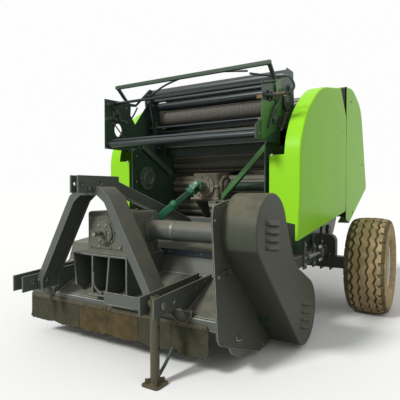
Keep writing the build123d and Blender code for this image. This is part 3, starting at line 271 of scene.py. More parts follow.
def wound_netting(name, thread, gap):
    """Knitted net wound tight on its core: bands about 38 mm apart along the roll, crossed by threads."""
    material, add, place = start_finish(name)
    spot = (place, "Object")
    bands = {"Vector": spot, "Scale": per_metre(38), "Distortion": 2.5, "Detail": 2.0, "Detail Scale": 3.0}
    along = add("TexWave", bands, wave_type="BANDS", bands_direction="X")
    cross = add("TexNoise", {"Vector": spot, "Scale": per_metre(7), "Detail": 4.0, "Roughness": 0.7})
    weave = add("Math", {0: (along, 1), 1: (cross, 0)}, operation="MULTIPLY")
    ramp = add("MapRange", {0: (weave, 0), 1: 0.05, 2: 0.5, 3: 0.0, 4: 1.0})
    colour = add("Mix", {"Factor": (ramp, 0), 6: linear(gap), 7: linear(thread)}, data_type="RGBA")
    relief = add("Bump", {"Strength": 0.5, "Distance": 0.002, "Height": (weave, 0)})
    made = {"Base Color": (colour, 2), "Normal": (relief, 0), "Roughness": 0.8}
    return close_finish(material, add, made)


def make_finishes(colours):
    """All the machine's finishes, each named for what it is."""
    lime, paint, dark, green = colours.lime, colours.frame_paint, colours.dark_paint, colours.green_paint
    dust, rim, net = colours.dust, colours.rim, colours.netting

    def shade(code, share):
        return mix_hex(code, "#000000", share)

    def tint(code, share):
        return mix_hex(code, "#FFFFFF", share)

    # Glossy sprayed enamel on thin folded sheet, with a thin film of dust.
    coated_steel(
        "lime enamel", lime, shade(lime, 0.05), mix_hex(lime, dust, 0.3), 0.12, 0.3, peel=1.8, shine=0.05,
    )
    # The same sheet's inner side and cut edges are duller.
    coated_steel("lime edge", tint(lime, 0.15), lime, dust, 0.3, 0.4, bare=tint(lime, 0.4))
    # Satin paint over thick plate, under field dust.
    coated_steel("frame paint", paint, shade(paint, 0.16), dust, 0.6, 0.38, peel=2.2, streaks=0.06)
    # Plate edges, where paint thins and is rubbed pale, and a paler colour is painted on as a highlight
    # too.
    coated_steel("rubbed edge and painted highlight", tint(paint, 0.26), tint(paint, 0.10), dust, 0.3, 0.4, bare="#B4B6AC")
    # Dark paint inside the bay and on the rolls.
    film = mix_hex(dust, dark, 0.35)
    coated_steel("chamber paint", dark, shade(dark, 0.3), film, 0.4, 0.4, peel=2.2, streaks=0.05)
    # Chamber plates' edges: rubbed paler, and painted paler as a highlight too.
    coated_steel("chamber edge and painted highlight", tint(dark, 0.14), tint(dark, 0.05), dust, 0.3, 0.38, bare="#565C52")
    coated_steel("green paint", green, shade(green, 0.2), dust, 0.3, 0.34, peel=2.0, streaks=0.1)
    # Green plates' edges: rubbed paler, and painted paler as a highlight too.
    coated_steel("green edge and painted highlight", tint(green, 0.25), green, dust, 0.4, 0.36, bare="#8FA48A")
    # Dark enamel of the net unit's tubes; its pale grey dust on the upper faces is also a painted
    # highlight.
    coated_steel("net tube enamel", "#26312F", "#1C2527", "#6A6B6B", 0.3, 0.3, peel=2.0)
    # Tube and foot in paint worn brown by soil.
    coated_steel("leg enamel", "#4F4A38", "#3B382B", mix_hex(dust, "#6B5F45", 0.5), 0.6, 0.45, peel=2.2)
    # Thin dark sheet of the belt guard, dusty above and nearly black below.
    coated_steel("guard enamel", "#4C5044", "#3C4037", dust, 0.55, 0.4, peel=2.0, shine=0.12)
    # Yokes and tube of the drive shaft, in blue-green paint.
    coated_steel("shaft enamel", "#27704B", "#1B553A", mix_hex(dust, "#3E7B5E", 0.5), 0.35, 0.3, peel=2.0)
    coated_steel("shaft guard", "#27533D", "#1C3F2D", dust, 0.3, 0.45, peel=2.0, shine=0.2)
    coated_steel("rim enamel", rim, mix_hex(rim, dust, 0.15), dust, 0.35, 0.35, streaks=0.05)
    # Rolls polished and dusted by straw; their paler rib tops and edges are also a painted highlight.
    coated_steel("rubbed roll and painted highlight", "#6C6A5C", "#55574B", "#8F846E", 0.7, 0.34, peel=3.0)
    coated_steel("roll flats", "#3A3F35", "#2B302A", "#6E6654", 0.55, 0.4, peel=3.0)
    # Clamping strip that dirty water runs over.
    coated_steel("dirty strip", "#4A4636", "#3A382B", "#7D6C4A", 0.9, 0.6, peel=2.5, streaks=0.3)
    # Replacement bar in a bluer grey than the frame's.
    coated_steel("blue bar", "#3A4550", "#2E3741", dust, 0.3, 0.35, peel=2.0)
    coated_steel("apron enamel", "#435047", "#38443C", dust, 0.3, 0.35, peel=2.0)
    coated_steel("black band", "#18241E", "#121B17", dust, 0.2, 0.5, peel=2.0, shine=0.15)
    # Painted shade: near-black for the unlit insides behind vents and seams, in holes, and in gaps behind
    # the covers.
    coated_steel("painted shade", "#0B0E0B", "#070907", "#2A281F", 0.3, 0.6)
    sand_casting("grey casting", colours.casting, dust)
    sand_casting("painted casting", mix_hex(paint, "#3E4136", 0.6), mix_hex(dust, paint, 0.6))
    dusty_rubber("tyre rubber", colours.tyre, "#C6AC84", 0.0, 1.0, reach=80)
    dusty_rubber("tyre groove", "#4A452F", "#786A4C", 0.0, 0.9)
    dusty_rubber("flap rubber", "#303224", "#454331", 0.0, 0.8, grain=6.0)
    # The middle flaps, caked with dry soil.
    dusty_rubber("soiled rubber", colours.flaps, "#584A2D", 0.0, 1.0, grain=9.0, reach=70)
    dusty_rubber("belt rubber", "#20211D", "#4A4638", 0.1, 0.6)
    # Oily turned bronze, browned by handling.
    bare_steel("bronze bar", "#A98A62", "#5E4A33", 0.4)
    bare_steel("bolt steel", "#85857B", "#55503F", 0.4)
    # Zinc-plated fixings that still shine.
    bare_steel("bright bolt", "#C9CBC8", "#8A8778", 0.28)
    bare_steel("chain steel", "#6F6A60", "#3D372C", 0.4)
    bare_steel("blade steel", "#8A877C", "#5E5342", 0.35)
    bare_steel("chromed rod", "#D5D6D8", "#B9BABC", 0.1)
    bare_steel("weld metal", "#8B8C84", "#4A4A40", 0.45)
    wound_netting("wound net", net, shade(net, 0.6))


# ---- shaping helpers -----------------------------------------------------------------


def body_of(node):
    """Body that a CAD node rides on."""
    return frame["nodes"][node]["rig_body"]


def finish_piece(name, bm, body, materials, stands_for=(), angle=32, weighted=True):
    """Turns a bmesh into a piece that rides on a body."""
    mesh = bpy.data.meshes.new(name)
    bm.to_mesh(mesh)
    bm.free()
    for material in materials:
        mesh.materials.append(finishes[material])
    mesh.polygons.foreach_set("use_smooth", [True] * len(mesh.polygons))
    mesh.set_sharp_from_angle(angle=math.radians(angle))
    piece = bpy.data.objects.new(name, mesh)
    bpy.context.scene.collection.objects.link(piece)
    if weighted:
        piece.modifiers.new("even shading", "WEIGHTED_NORMAL").keep_sharp = True
    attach(piece, body)
    if stands_for:
        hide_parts(*stands_for)
    return piece


def dress(name, bm, materials, node, angle=32, weighted=True):
    """Finishes a piece that stands in for a CAD node, on that node's body."""
    return finish_piece(name, bm, body_of(node), materials, (node,), angle, weighted)


def copy_node(node):
    """Bmesh of a CAD node with its doubles merged and its flat faces made whole."""
    bm = bmesh.new()
    bm.from_mesh(frame["nodes"][node].data)
    bmesh.ops.remove_doubles(bm, verts=bm.verts, dist=1e-5)
    bmesh.ops.dissolve_limit(bm, angle_limit=math.radians(1.0), verts=bm.verts, edges=bm.edges)
    return bm


def soften(bm, edges, width, segments=2, clamp=True):
    """Rounds edges and gives back the new faces."""
    made = bmesh.ops.bevel(
        bm, geom=edges, offset=width, offset_type="OFFSET", segments=segments, profile=0.5, affect="EDGES",
        clamp_overlap=clamp, material=-1,
    )
    return made["faces"]


def round_edges(bm, width, segments=2, least=28, worn=1, keep=lambda edge: True):
    """Rounds every edge sharper than least degrees, and gives the new faces the worn finish, which on
    plates is also a painted highlight.
    """
    sharp = math.radians(least)
    edges = [
        edge
        for edge in bm.edges
        if len(edge.link_faces) == 2
        and edge.calc_face_angle(0) > sharp
        and keep(edge)
    ]
    for face in soften(bm, edges, width, segments):
        face.material_index = worn


def pull(bm, edges, by):
    """Draws a strip of faces out of edges, and gives back its new corners."""
    made = bmesh.ops.extrude_edge_only(bm, edges=edges)["geom"]
    corners = [item for item in made if isinstance(item, bmesh.types.BMVert)]
    bmesh.ops.translate(bm, verts=corners, vec=by)
    return corners


def cut_through(bm, place, normal, **settings):
    """Adds the line of a plane across all faces."""
    everything = bm.verts[:] + bm.edges[:] + bm.faces[:]
    bmesh.ops.bisect_plane(bm, geom=everything, plane_co=place, plane_no=normal, **settings)


def thicken(bm, thickness, sign=0):
    """Makes a sheet solid. Its largest face looks along X times sign, where sign is given."""
    bmesh.ops.recalc_face_normals(bm, faces=bm.faces)
    if sign and max(bm.faces, key=lambda face: face.calc_area()).normal.x * sign < 0:
        bmesh.ops.reverse_faces(bm, faces=bm.faces)
    bmesh.ops.solidify(bm, geom=bm.faces[:], thickness=thickness)


def aligned(start, finish):
    """Matrix that puts a shape's Z along start to finish, its middle half way."""
    run = Vector(finish) - Vector(start)
    middle = (Vector(start) + Vector(finish)) / 2
    return Matrix.Translation(middle) @ run.to_track_quat("Z", "Y").to_matrix().to_4x4()


def rod(bm, start, finish, radius, segments=20, tip=None, material=0):
    """Round bar or cone between two points."""
    made = bmesh.ops.create_cone(
        bm, cap_ends=True, segments=segments, radius1=radius, radius2=radius if tip is None else tip,
        depth=(Vector(finish) - Vector(start)).length, matrix=aligned(start, finish),
    )
    for face in {face for vert in made["verts"] for face in vert.link_faces}:
        face.material_index = material


def block(bm, first, second, soft=0.0, material=0, turn=None):
    """Box between two corners with its edges rounded, turned about its middle."""
    low, high = (Vector(map(end, first, second)) for end in (min, max))
    place = Matrix.Translation((low + high) / 2) @ (turn or Matrix()) @ Matrix.Diagonal((*(high - low), 1))
    verts = bmesh.ops.create_cube(bm, size=1, matrix=place)["verts"]
    faces = {face for vert in verts for face in vert.link_faces}
    for face in faces:
        face.material_index = material
    if soft:
        soften(bm, list({edge for face in faces for edge in face.edges}), soft)
    return verts


def upright_edges(verts, least):
    """Edges of some corners that rise by more than least."""
    edges = {edge for vert in verts for edge in vert.link_edges}
    return [edge for edge in edges if abs(edge.verts[0].co.z - edge.verts[1].co.z) > least]


def bolt(bm, seat, axis, size, material=0, washer=True):
    """Hexagon head with its chamfer, on a washer, standing on seat along axis."""
    axis = Vector(axis).normalized()
    base = Vector(seat)
    if washer:
        base = base + axis * size * 0.18
        rod(bm, seat, base, size * 1.1, 14, material=material)
    top = base + axis * size * 0.5
    rod(bm, base, top, size * 0.92, 6, material=material)
    rod(bm, top, top + axis * size * 0.12, size * 0.92, 6, tip=size * 0.72, material=material)


def side_bolts(bm, x, way, places, size, material=1):
    """Bolts on an upright side face, at (station, z) places."""
    for station, z in places:
        bolt(bm, at(x, station, z), (way, 0, 0), size, material)


def ring_of_bolts(bm, centre, axis, radius, count, size, start=0.0, material=1):
    """Bolts evenly round a circle."""
    axis = Vector(axis).normalized()
    side = axis.orthogonal().normalized()
    for index in range(count):
        turn = Matrix.Rotation(start + index * math.tau / count, 3, axis)
        bolt(bm, Vector(centre) + turn @ side * radius, axis, size, material)


def on_circle(station, z, radius, turn):
    """(station, z) point of a circle in the side view."""
    return station + radius * math.cos(turn), z + radius * math.sin(turn)


def side_prism(bm, outline, x, depth, material=0):
    """Plate cut to an outline of (station, z) points, from x along X."""
    verts = [bm.verts.new(at(x, station, z)) for station, z in outline]
    face = bm.faces.new(verts)
    face.material_index = material
    made = bmesh.ops.extrude_face_region(bm, geom=[face])["geom"]
    moved = [item for item in made if isinstance(item, bmesh.types.BMVert)]
    bmesh.ops.translate(bm, verts=moved, vec=(depth, 0, 0))
    faces = {face for vert in verts + moved for face in vert.link_faces}
    for item in faces:
        item.material_index = material
    bmesh.ops.recalc_face_normals(bm, faces=list(faces))


def join(bm, part):
    """Adds a part's own bmesh to a piece's."""
    mesh = bpy.data.meshes.new("part")
    part.to_mesh(mesh)
    part.free()
    bm.from_mesh(mesh)
    bpy.data.meshes.remove(mesh)


def absorb(bm, part, material=0):
    """Adds a part's own bmesh to a piece's, in one finish."""
    for face in part.faces:
        face.material_index = material
    join(bm, part)


def linked_object(name, data):
    """Object in the scene that only lends its shape."""
    holder = bpy.data.objects.new(name, data)
    bpy.context.scene.collection.objects.link(holder)
    return holder


def cut_out(bm, outline, x0, x1):
    """The bmesh with a hole of an outline of (station, z) points cut through it from x0 to x1."""
    cutter = bmesh.new()
    side_prism(cutter, outline, x0, x1 - x0)
    holders = []
    for source in (bm, cutter):
        mesh = bpy.data.meshes.new("cut")
        source.to_mesh(mesh)
        source.free()
        holders.append(linked_object("cut", mesh))
    tool = holders[0].modifiers.new("opening", "BOOLEAN")
    tool.object = holders[1]
    tool.solver = "EXACT"
    shape = holders[0].evaluated_get(bpy.context.evaluated_depsgraph_get())
    made = bpy.data.meshes.new_from_object(shape)
    result = bmesh.new()
    result.from_mesh(made)
    # A mesh takes its object with it.
    for mesh in [made] + [holder.data for holder in holders]:
        bpy.data.meshes.remove(mesh)
    return result


def turned(bm, profile, centre, axis=ACROSS, steps=48, material=0):
    """Turns a profile of (along the axis, radius) points a full circle about an axis."""
    axis = Vector(axis).normalized()
    side = axis.orthogonal().normalized()
    part = bmesh.new()
    verts = [part.verts.new(Vector(centre) + axis * along + side * radius) for along, radius in profile]
    edges = [part.edges.new(pair) for pair in zip(verts, verts[1:])]
    bmesh.ops.spin(
        part, geom=verts + edges, cent=centre, axis=axis, angle=math.tau, steps=steps, use_merge=True,
    )
    bmesh.ops.remove_doubles(part, verts=part.verts, dist=1e-6)
    bmesh.ops.recalc_face_normals(part, faces=part.faces)
    absorb(bm, part, material)


def bent_rod(bm, points, radius, material=0, sides=3, smooth=True):
    """Round bar bent through points."""
    curve = bpy.data.curves.new("bar", "CURVE")
    curve.dimensions = "3D"
    curve.bevel_depth = radius
    curve.bevel_resolution = sides
    curve.use_fill_caps = True
    spline = curve.splines.new("NURBS" if smooth else "POLY")
    spline.points.add(len(points) - 1)
    for point, place in zip(spline.points, points):
        point.co = (*place, 1)
    if smooth:
        spline.order_u = 3
        spline.use_endpoint_u = True
        spline.resolution_u = 5
    mesh = bpy.data.meshes.new_from_object(linked_object("bar", curve))
    part = bmesh.new()
    part.from_mesh(mesh)
    absorb(bm, part, material)
    bpy.data.curves.remove(curve)
    bpy.data.meshes.remove(mesh)


def weld(bm, points, radius, material=0):
    """Bead along a joint, rippled every few millimetres."""
    part = bmesh.new()
    for start, finish in zip(points, points[1:]):
        run = Vector(finish) - Vector(start)
        steps = max(3, int(run.length / (radius * 1.4)))
        for index in range(steps):
            middle = Vector(start) + run * ((index + 0.5) / steps)
            bmesh.ops.create_icosphere(
                part, subdivisions=1, radius=radius, matrix=Matrix.Translation(middle),
            )
    absorb(bm, part, material)


# ---- plate pieces that keep the frame's own shapes -----------------------------------

USUAL, CHAMBER_SIDE = ("frame paint", "rubbed edge and painted highlight"), ("chamber paint", "chamber edge and painted highlight")
# Finishes of a plate and of its worn edges, whose paler colour is also a painted highlight, and its edges'
# rounding against the usual one.
PLATE_PIECES = (
    (
        USUAL,
        {
            "axle_beam": 3.0, "side_rails": 2.5, "header_hood": 1.0, "front_beam": 2.5, "hitch_ledge": 0.8,
            "header_ends": 1.0, "headstock_leg_left": 1.3, "headstock_leg_right": 1.3,
            "top_link_bracket": 1.0, "rear_strut": 3.0, "link_plates_left": 1.0, "link_plates_right": 1.0,
            "gearbox_stand": 1.0,
        },
    ),
    (("guard enamel", "rubbed edge and painted highlight"), {"guard_plate": 1.0}),
    (USUAL, {"cover_brackets": 0.5, "cross_tube": 1.0, "bay_beam": 2.0}),
    (
        CHAMBER_SIDE,
        {
            "chamber_side_left": 0.8, "chamber_side_right": 0.8, "feed_floor": 0.6, "tail_side_left": 0.8,
            "tail_side_right": 0.8, "tail_tubes": 1.0, "net_plate_left": 0.7, "net_plate_right": 0.7,
            "top_rail": 1.6,
        },
    ),
)
BRACE_FOOT = 1.06  # height above which the bay's beam is the brace
NET_WINDOW = (
    (0.082, 1.868), (0.155, 1.878), (0.285, 1.988), (0.300, 1.905), (0.142, 1.715), (0.078, 1.790),
)


class BALER_OT_plates(Operator):
    """Frame, hitch, header and chamber plates with their edges rounded, rubbed and painted with a highlight
    """

    bl_idname = "baler.plates"
    bl_label = "Plates"

    def execute(self, context):
        radius = context.scene.baler_sizes.edge_radius
        for finish_names, plates in PLATE_PIECES:
            for node, share in plates.items():
                bm = copy_node(node)
                round_edges(bm, radius * share)
                used = finish_names
                if node == "bay_beam":
                    # The brace above the gearbox's pedestal is in the lighter green.
                    used = (*finish_names, "green paint", "green edge and painted highlight")
                    for face in bm.faces:
                        if face.calc_center_median().z > BRACE_FOOT:
                            face.material_index += 2
                if node == "net_plate_right":
                    # Openings beside the net's knife and above its gear.
                    turns = [math.tau * step / 24 for step in range(24)]
                    oval = [
                        (-0.081 + 0.046 * math.cos(turn), 1.640 + 0.056 * math.sin(turn))
                        for turn in turns
                    ]
                    for outline in (oval, NET_WINDOW):
                        bm = cut_out(bm, outline, -0.712, -0.694)
                dress(f"plate.{node}", bm, used, node)
        return {"FINISHED"}


# ---- side covers ---------------------------------------------------------------------

COVER_TOP = ((0.0, 0.780), (0.0, 1.460), (0.147, 1.690), (0.480, 1.930), (1.120, 2.048))
COVER_LOW = ((1.345, 1.810), (1.350, 0.925))
TAIL_RIM = ((1.365, 2.110), (1.630, 2.140), (2.050, 2.020), (2.380, 1.145), (1.520, 0.800))
TAIL_FOOT = (1.365, 0.850)
COVER_STRIP = 0.115
COVER_FACE = 0.225
FACE_SPAN = (0.907, 1.440)  # heights that the wide front face runs between
SHEET = 0.0028
LIP = 0.014  # return fold along the edges that meet
CREASE = ((0.0, 1.120), (1.350, 0.990))  # below it the front skin leans in
NOTCH = (0.905, 0.034)  # below this height the strip is only so wide
CREASE_FALL = 0.096  # how far the crease drops, for each metre to the rear
LEAN = 0.045  # how far the skin leans in, for each metre below the crease
COVER_OUT = 0.875
HINGE_X, HINGE_STATION, HINGE_HEIGHTS = 0.860, 1.340, (1.000, 1.700)


def smooth_corners(outline, cuts):
    """Swaps each inner corner for short runs, cut back by the lengths given."""
    points = [Vector(point) for point in outline]
    rounded = [points[0]]
    for before, corner, after, cut in zip(points, points[1:], points[2:], cuts):
        first = corner + (before - corner).normalized() * cut
        last = corner + (after - corner).normalized() * cut
        for share in (0.0, 0.167, 0.333, 0.5, 0.667, 0.833, 1.0):
            rounded.append(first.lerp(corner, share).lerp(corner.lerp(last, share), share))
    return [*rounded, points[-1]]


def cover_shell(x, sign, rim, foot, fold, strip, face=None):
    """One folded sheet: the side skin, its rim turned in along the outline, and its return folds.

    face, where given, is the height span and the width of the front face.
    """
    bm = bmesh.new()
    skin = [bm.verts.new(at(x, *point)) for point in rim]
    low = [bm.verts.new(at(x, *point)) for point in foot]
    bm.faces.new(skin + low)
    edges = [bm.edges.get(pair) for pair in zip(skin, skin[1:])]
    pull(bm, edges, (-sign * strip, 0, 0))
    soften(bm, edges, fold, 5)
    if face:
        # The front face is wider than the strip above it.
        (base, top), width = face
        for height in (base, top):
            cut_through(bm, (0, 0, height), UP)
        inner_x = x - sign * strip

        def on_front(vert):
            return abs(vert.co.x - inner_x) < 1e-4 and vert.co.y < STATION_ZERO + 0.002

        wide = [
            edge
            for edge in bm.edges
            if len(edge.link_faces) == 1
            and all(map(on_front, edge.verts))
            and base - 1e-4 < sum(vert.co.z for vert in edge.verts) / 2 < top + 1e-4
        ]
        pull(bm, wide, (-sign * (width - strip), 0, 0))
        # Below the wide face the strip is cut back to a narrow flange.
        cut_through(bm, (0, 0, NOTCH[0] - 0.012), UP)
        for vert in bm.verts:
            if vert.co.z < NOTCH[0] - 0.011 and on_front(vert):
                vert.co.x = x - sign * NOTCH[1]
        # The skin is creased, and leans in by more the lower it gets.
        start, finish = at(0, *CREASE[0]), at(0, *CREASE[1])
        across = (finish - start).cross(ACROSS).normalized()
        across *= math.copysign(1, across.z)
        cut_through(bm, start, across)
        for vert in bm.verts:
            below = (start - vert.co).dot(across)
            if below > 0 and abs(vert.co.x - x) < 0.02:
                vert.co.x -= sign * LEAN * below
    thicken(bm, SHEET, sign)
    # Return folds along the edges that meet the other cover and the underside.
    for pair in zip([rim[-1], *foot], [*foot, rim[0]]):
        # The edge along the hinge pins has no fold, so that the cover swings clear of them.
        if max(abs(station - COVER_LOW[1][0]) for station, z in pair) < 0.01:
            continue
        ends = []
        for station, z in pair:
            lean = LEAN * max(0.0, CREASE[0][1] - CREASE_FALL * station - z) if face else 0.0
            ends.append(at(x - sign * (SHEET + lean), station, z))
        inward = Vector((-sign * LIP, 0, 0))
        sheet = bm.faces.new([bm.verts.new(place) for place in (*ends, ends[1] + inward, ends[0] + inward)])
        bmesh.ops.solidify(bm, geom=[sheet], thickness=-SHEET)
    bmesh.ops.recalc_face_normals(bm, faces=bm.faces)
    return bm


class BALER_OT_covers(Operator):
    """Lime side covers: folded sheet with soft bends, fixings and hinge knuckles"""

    bl_idname = "baler.covers"
    bl_label = "Side covers"

    def execute(self, context):
        fold = context.scene.baler_sizes.fold_radius
        for side, sign in SIDES:
            x = sign * COVER_OUT
            front = smooth_corners(COVER_TOP, (0.125, 0.135, 0.20))
            bm = cover_shell(x, sign, front, COVER_LOW, fold, COVER_STRIP, (FACE_SPAN, COVER_FACE))
            # Knuckles of the lift-off hinges, and the bolts that hold the skin to its inner ribs.
            knuckle = ((0, 0.0043), (0, 0.008), (0.02, 0.008), (0.02, 0.0043))
            for hinge_z in HINGE_HEIGHTS:
                turned(bm, knuckle, at(sign * HINGE_X, HINGE_STATION, hinge_z + 0.02), UP, 16, 1)
            side_bolts(bm, x - sign * 0.0006, sign, ((1.22, 1.02), (1.22, 1.66)), 0.006, 2)
            for z in (0.965, 1.375):
                bolt(bm, at(x - sign * 0.207, 0.0006, z), FORWARD, 0.0075, 2)
            dress(
                f"cover.front_{side}", bm, ("lime enamel", "lime edge", "bright bolt"),
                f"front_cover_{side}",
            )
            rear = smooth_corners(TAIL_RIM, (0.10, 0.18, 0.05))
            bm = cover_shell(x, sign, rear, (TAIL_FOOT,), fold, COVER_STRIP)
            # Flange behind the seam with the front cover, in near-black painted shade.
            block(bm, at(x - sign * 0.130, 1.368, 0.870), at(x - sign * SHEET, 1.371, 2.100), 0, 4)
            for station, z in ((1.56, 2.00), (2.09, 1.40), (1.64, 0.90)):
                rod(
                    bm, at(sign * PLATE_OUT, station, z), at(x - sign * SHEET, station, z), 0.018,
                    material=3,
                )
                bolt(bm, at(x - sign * 0.0004, station, z), ACROSS * sign, 0.009, 2)
            finish_names = ("lime enamel", "lime edge", "bolt steel", "chamber paint", "painted shade")
            dress(f"cover.tail_{side}", bm, finish_names, f"tail_cover_{side}")
        return {"FINISHED"}


# ---- wheels --------------------------------------------------------------------------

TYRE_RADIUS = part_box("tyre_left")[1].z / 2
WHEEL_X = sum(corner.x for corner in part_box("tyre_left")) / 2
WHEEL_Y = sum(corner.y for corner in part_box("tyre_left")) / 2
TYRE_HALF = (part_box("tyre_left")[1].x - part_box("tyre_left")[0].x) / 2
RIM_RADIUS = 0.206
CROWN_DROP = 0.021  # how much lower the tread's edges are than its crown
ZIGZAG = 0.0095  # half the zigzag's swing
LUG_START, SHOULDER = 0.12, 0.165  # where the lugs begin, and where they turn down the sidewall
SIDEWALL_GAP = 0.006

# Columns of the tread from the crown outwards: x, drop below the tread, how far the zigzag
# moves it, and the share of the lug pattern's depth that it takes.
TREAD_COLUMNS = (
    (0.000, 0.000, 0.0, 0.0), (0.012, 0.000, 0.4, 0.0), (0.024, 0.000, 1.0, 0.0), (0.027, 1.000, 1.0, 0.0),
    (0.040, 1.000, 1.0, 0.0), (0.044, 0.000, 1.0, 0.0), (0.062, 0.000, 0.7, 0.0), (0.082, 0.000, 1.0, 0.0),
    (0.086, 1.000, 1.0, 0.0), (0.100, 1.000, 1.0, 0.0), (0.104, 0.001, 1.0, 0.0), (0.118, 0.001, 0.0, 0.80),
    (0.140, 0.002, 0.0, 1.0), (0.156, 0.008, 0.0, 1.0), (0.166, 0.028, 0.0, 1.0), (0.170, 0.052, 0.0, 0.9),
    (0.1705, 0.066, 0.0, 0.2), (0.1715, 0.072, 0.0, 0.0), (0.1735, 0.095, 0.0, 0.0),
    (0.1742, 0.120, 0.0, 0.0), (0.1730, 0.128, 0.0, 0.0), (0.1722, 0.134, 0.0, 0.0),
    (0.1690, 0.155, 0.0, 0.0), (0.1580, 0.178, 0.0, 0.0), (0.1440, 0.192, 0.0, 0.0),
    (0.1345, 0.199, 0.0, 0.0), (0.1260, 0.205, 0.0, 0.0),
)
# Rows of one lug pitch: share of the pitch, depth of the gap between lugs there, zigzag side.
LUG_ROWS = (
    (0.00, 0.0, -1.0), (0.10, 0.0, -0.6), (0.40, 0.0, 0.6), (0.50, 0.0, 1.0), (0.62, 0.0, 0.52),
    (0.68, 1.0, 0.28), (0.86, 1.0, -0.44), (0.92, 0.0, -0.68),
)


def tread_place(column, row, depth, pitches):
    """(across, radius, turn) of a corner of the tyre's mesh, from its tread column and lug row."""
    x, drop, zig, lug = column
    pitch, share, gap, bend = row
    out = abs(x)
    # The two shoulders' lugs stand half a pitch apart.
    stagger = 0.5 if x < -LUG_START else 0.0
    turn = math.tau * (pitch + share + stagger) / pitches
    fall = depth if drop == 1.0 else drop
    gap_depth = depth * 0.55 if out < SHOULDER else SIDEWALL_GAP
    radius = TYRE_RADIUS - fall - gap * lug * gap_depth - CROWN_DROP * (out / TYRE_HALF) ** 2.4
    taper = gap * lug * 0.004 if out > 0.16 else 0.0
    return x + ZIGZAG * bend * zig - math.copysign(taper, x), radius, turn


class BALER_OT_tyres(Operator):
    """Implement tyres: zigzag grooves, lugged shoulders, raised sidewall rings"""

    bl_idname = "baler.tyres"
    bl_label = "Tyres"

    def execute(self, context):
        sizes = context.scene.baler_sizes
        depth, pitches = sizes.tread_depth, sizes.tread_pitches
        columns = [(-x, drop, zig, lug) for x, drop, zig, lug in reversed(TREAD_COLUMNS[1:])]
        columns += TREAD_COLUMNS
        rows = [(pitch, *row) for pitch in range(pitches) for row in LUG_ROWS]
        for side, sign in SIDES:
            centre = Vector((sign * WHEEL_X, WHEEL_Y, TYRE_RADIUS))
            bm = bmesh.new()
            bmesh.ops.create_grid(bm, x_segments=len(columns) - 1, y_segments=len(rows), size=0.5)
            for vert in bm.verts:
                column = columns[round((vert.co.x + 0.5) * (len(columns) - 1))]
                row = rows[round((vert.co.y + 0.5) * len(rows)) % len(rows)]
                x, radius, turn = tread_place(column, row, depth, pitches)
                vert.co = centre + Vector((x, -math.cos(turn) * radius, math.sin(turn) * radius))
            bmesh.ops.remove_doubles(bm, verts=bm.verts, dist=1e-5)
            bmesh.ops.recalc_face_normals(bm, faces=bm.faces)
            for face in bm.faces:
                x, y, z = face.calc_center_median() - centre
                fall = TYRE_RADIUS - math.hypot(y, z)
                # The shoulder towards the machine is painted shade, in the darker groove rubber.
                shaded_shoulder = sign * x < -0.112 and fall < 0.09
                in_groove = abs(x) < SHOULDER and depth * 0.8 < fall < 0.06
                face.material_index = int(shaded_shoulder or in_groove)
            # The beads tuck in over the rim's seats.
            for vert in pull(bm, [edge for edge in bm.edges if len(edge.link_faces) == 1], (0, 0, 0)):
                x, y, z = vert.co - centre
                spoke = Vector((0, y, z)).normalized() * (RIM_RADIUS + 0.001)
                vert.co = centre + ACROSS * math.copysign(0.118, x) + spoke
            dress(f"tyre.{side}", bm, ("tyre rubber", "tyre groove"), f"tyre_{side}", 38, False)
        return {"FINISHED"}


class BALER_OT_rims(Operator):
    """Wheel rims: rolled flanges, dished disc, hub with its nuts and cap"""

    bl_idname = "baler.rims"
    bl_label = "Rims"

    def execute(self, context):
        for side, sign in SIDES:
            centre = Vector((sign * WHEEL_X, WHEEL_Y, TYRE_RADIUS))
            out = Vector(ACROSS * sign)
            bm = bmesh.new()
            rolled = (
                (-0.1320, 0.2170), (-0.1330, 0.2225), (-0.1270, 0.2245), (-0.1210, 0.2190),
                (-0.1205, 0.2062), (-0.085, 0.2040), (-0.06, 0.188), (0.06, 0.188), (0.085, 0.2040),
                (0.1205, 0.2062), (0.1210, 0.2190), (0.1270, 0.2245), (0.1330, 0.2225), (0.1320, 0.2170),
                (0.1275, 0.2000), (0.088, 0.1975), (0.062, 0.1820), (-0.062, 0.1820), (-0.088, 0.1975),
                (-0.1275, 0.2000), (-0.1320, 0.2170),
            )
            turned(bm, rolled, centre, out, 72)
            disc = (
                (0.012, 0.1825), (0.034, 0.1820), (0.036, 0.160), (0.028, 0.150), (0.006, 0.118),
                (0.006, 0.078), (0.0, 0.074), (-0.004, 0.078), (-0.004, 0.118), (0.018, 0.150),
                (0.026, 0.160), (0.012, 0.1825),
            )
            turned(bm, disc, centre, out, 72)
            hub = (
                (-0.110, 0.0304), (-0.110, 0.060), (-0.100, 0.066), (-0.030, 0.066), (-0.022, 0.074),
                (0.006, 0.0745), (0.016, 0.070), (0.024, 0.054), (0.026, 0.046), (0.030, 0.045),
                (0.043, 0.043), (0.045, 0.038), (0.045, 0.0),
            )
            turned(bm, hub, centre, out, 48, 1)
            ring_of_bolts(bm, centre + out * 0.006, out, 0.098, 6, 0.012, material=2)
            # Tyre valve through the well.
            start = centre + Vector((sign * 0.062, 0.0, 0.176))
            rod(bm, start, start + Vector((sign * 0.03, 0, -0.012)), 0.004, 10, material=2)
            dress(f"rim.{side}", bm, ("rim enamel", "painted casting", "bolt steel"), f"rim_{side}")
        return {"FINISHED"}


# ---- belt drive's guard --------------------------------------------------------------

GUARD_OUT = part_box("belt_guard")[1].x
GUARD_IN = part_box("belt_guard")[0].x
# start and finish of each pressed vent (station, z)
UPPER_VENTS = (
    ((-0.590, 0.950), (-0.386, 0.928)), ((-0.590, 0.904), (-0.386, 0.880)),
    ((-0.590, 0.858), (-0.386, 0.832)), ((-0.590, 0.812), (-0.386, 0.784)),
)
LOWER_VENTS = (
    ((0.050, 0.345), (0.256, 0.296)), ((0.048, 0.292), (0.254, 0.238)), ((0.044, 0.240), (0.248, 0.183)),
    ((0.036, 0.189), (0.226, 0.132)),
)


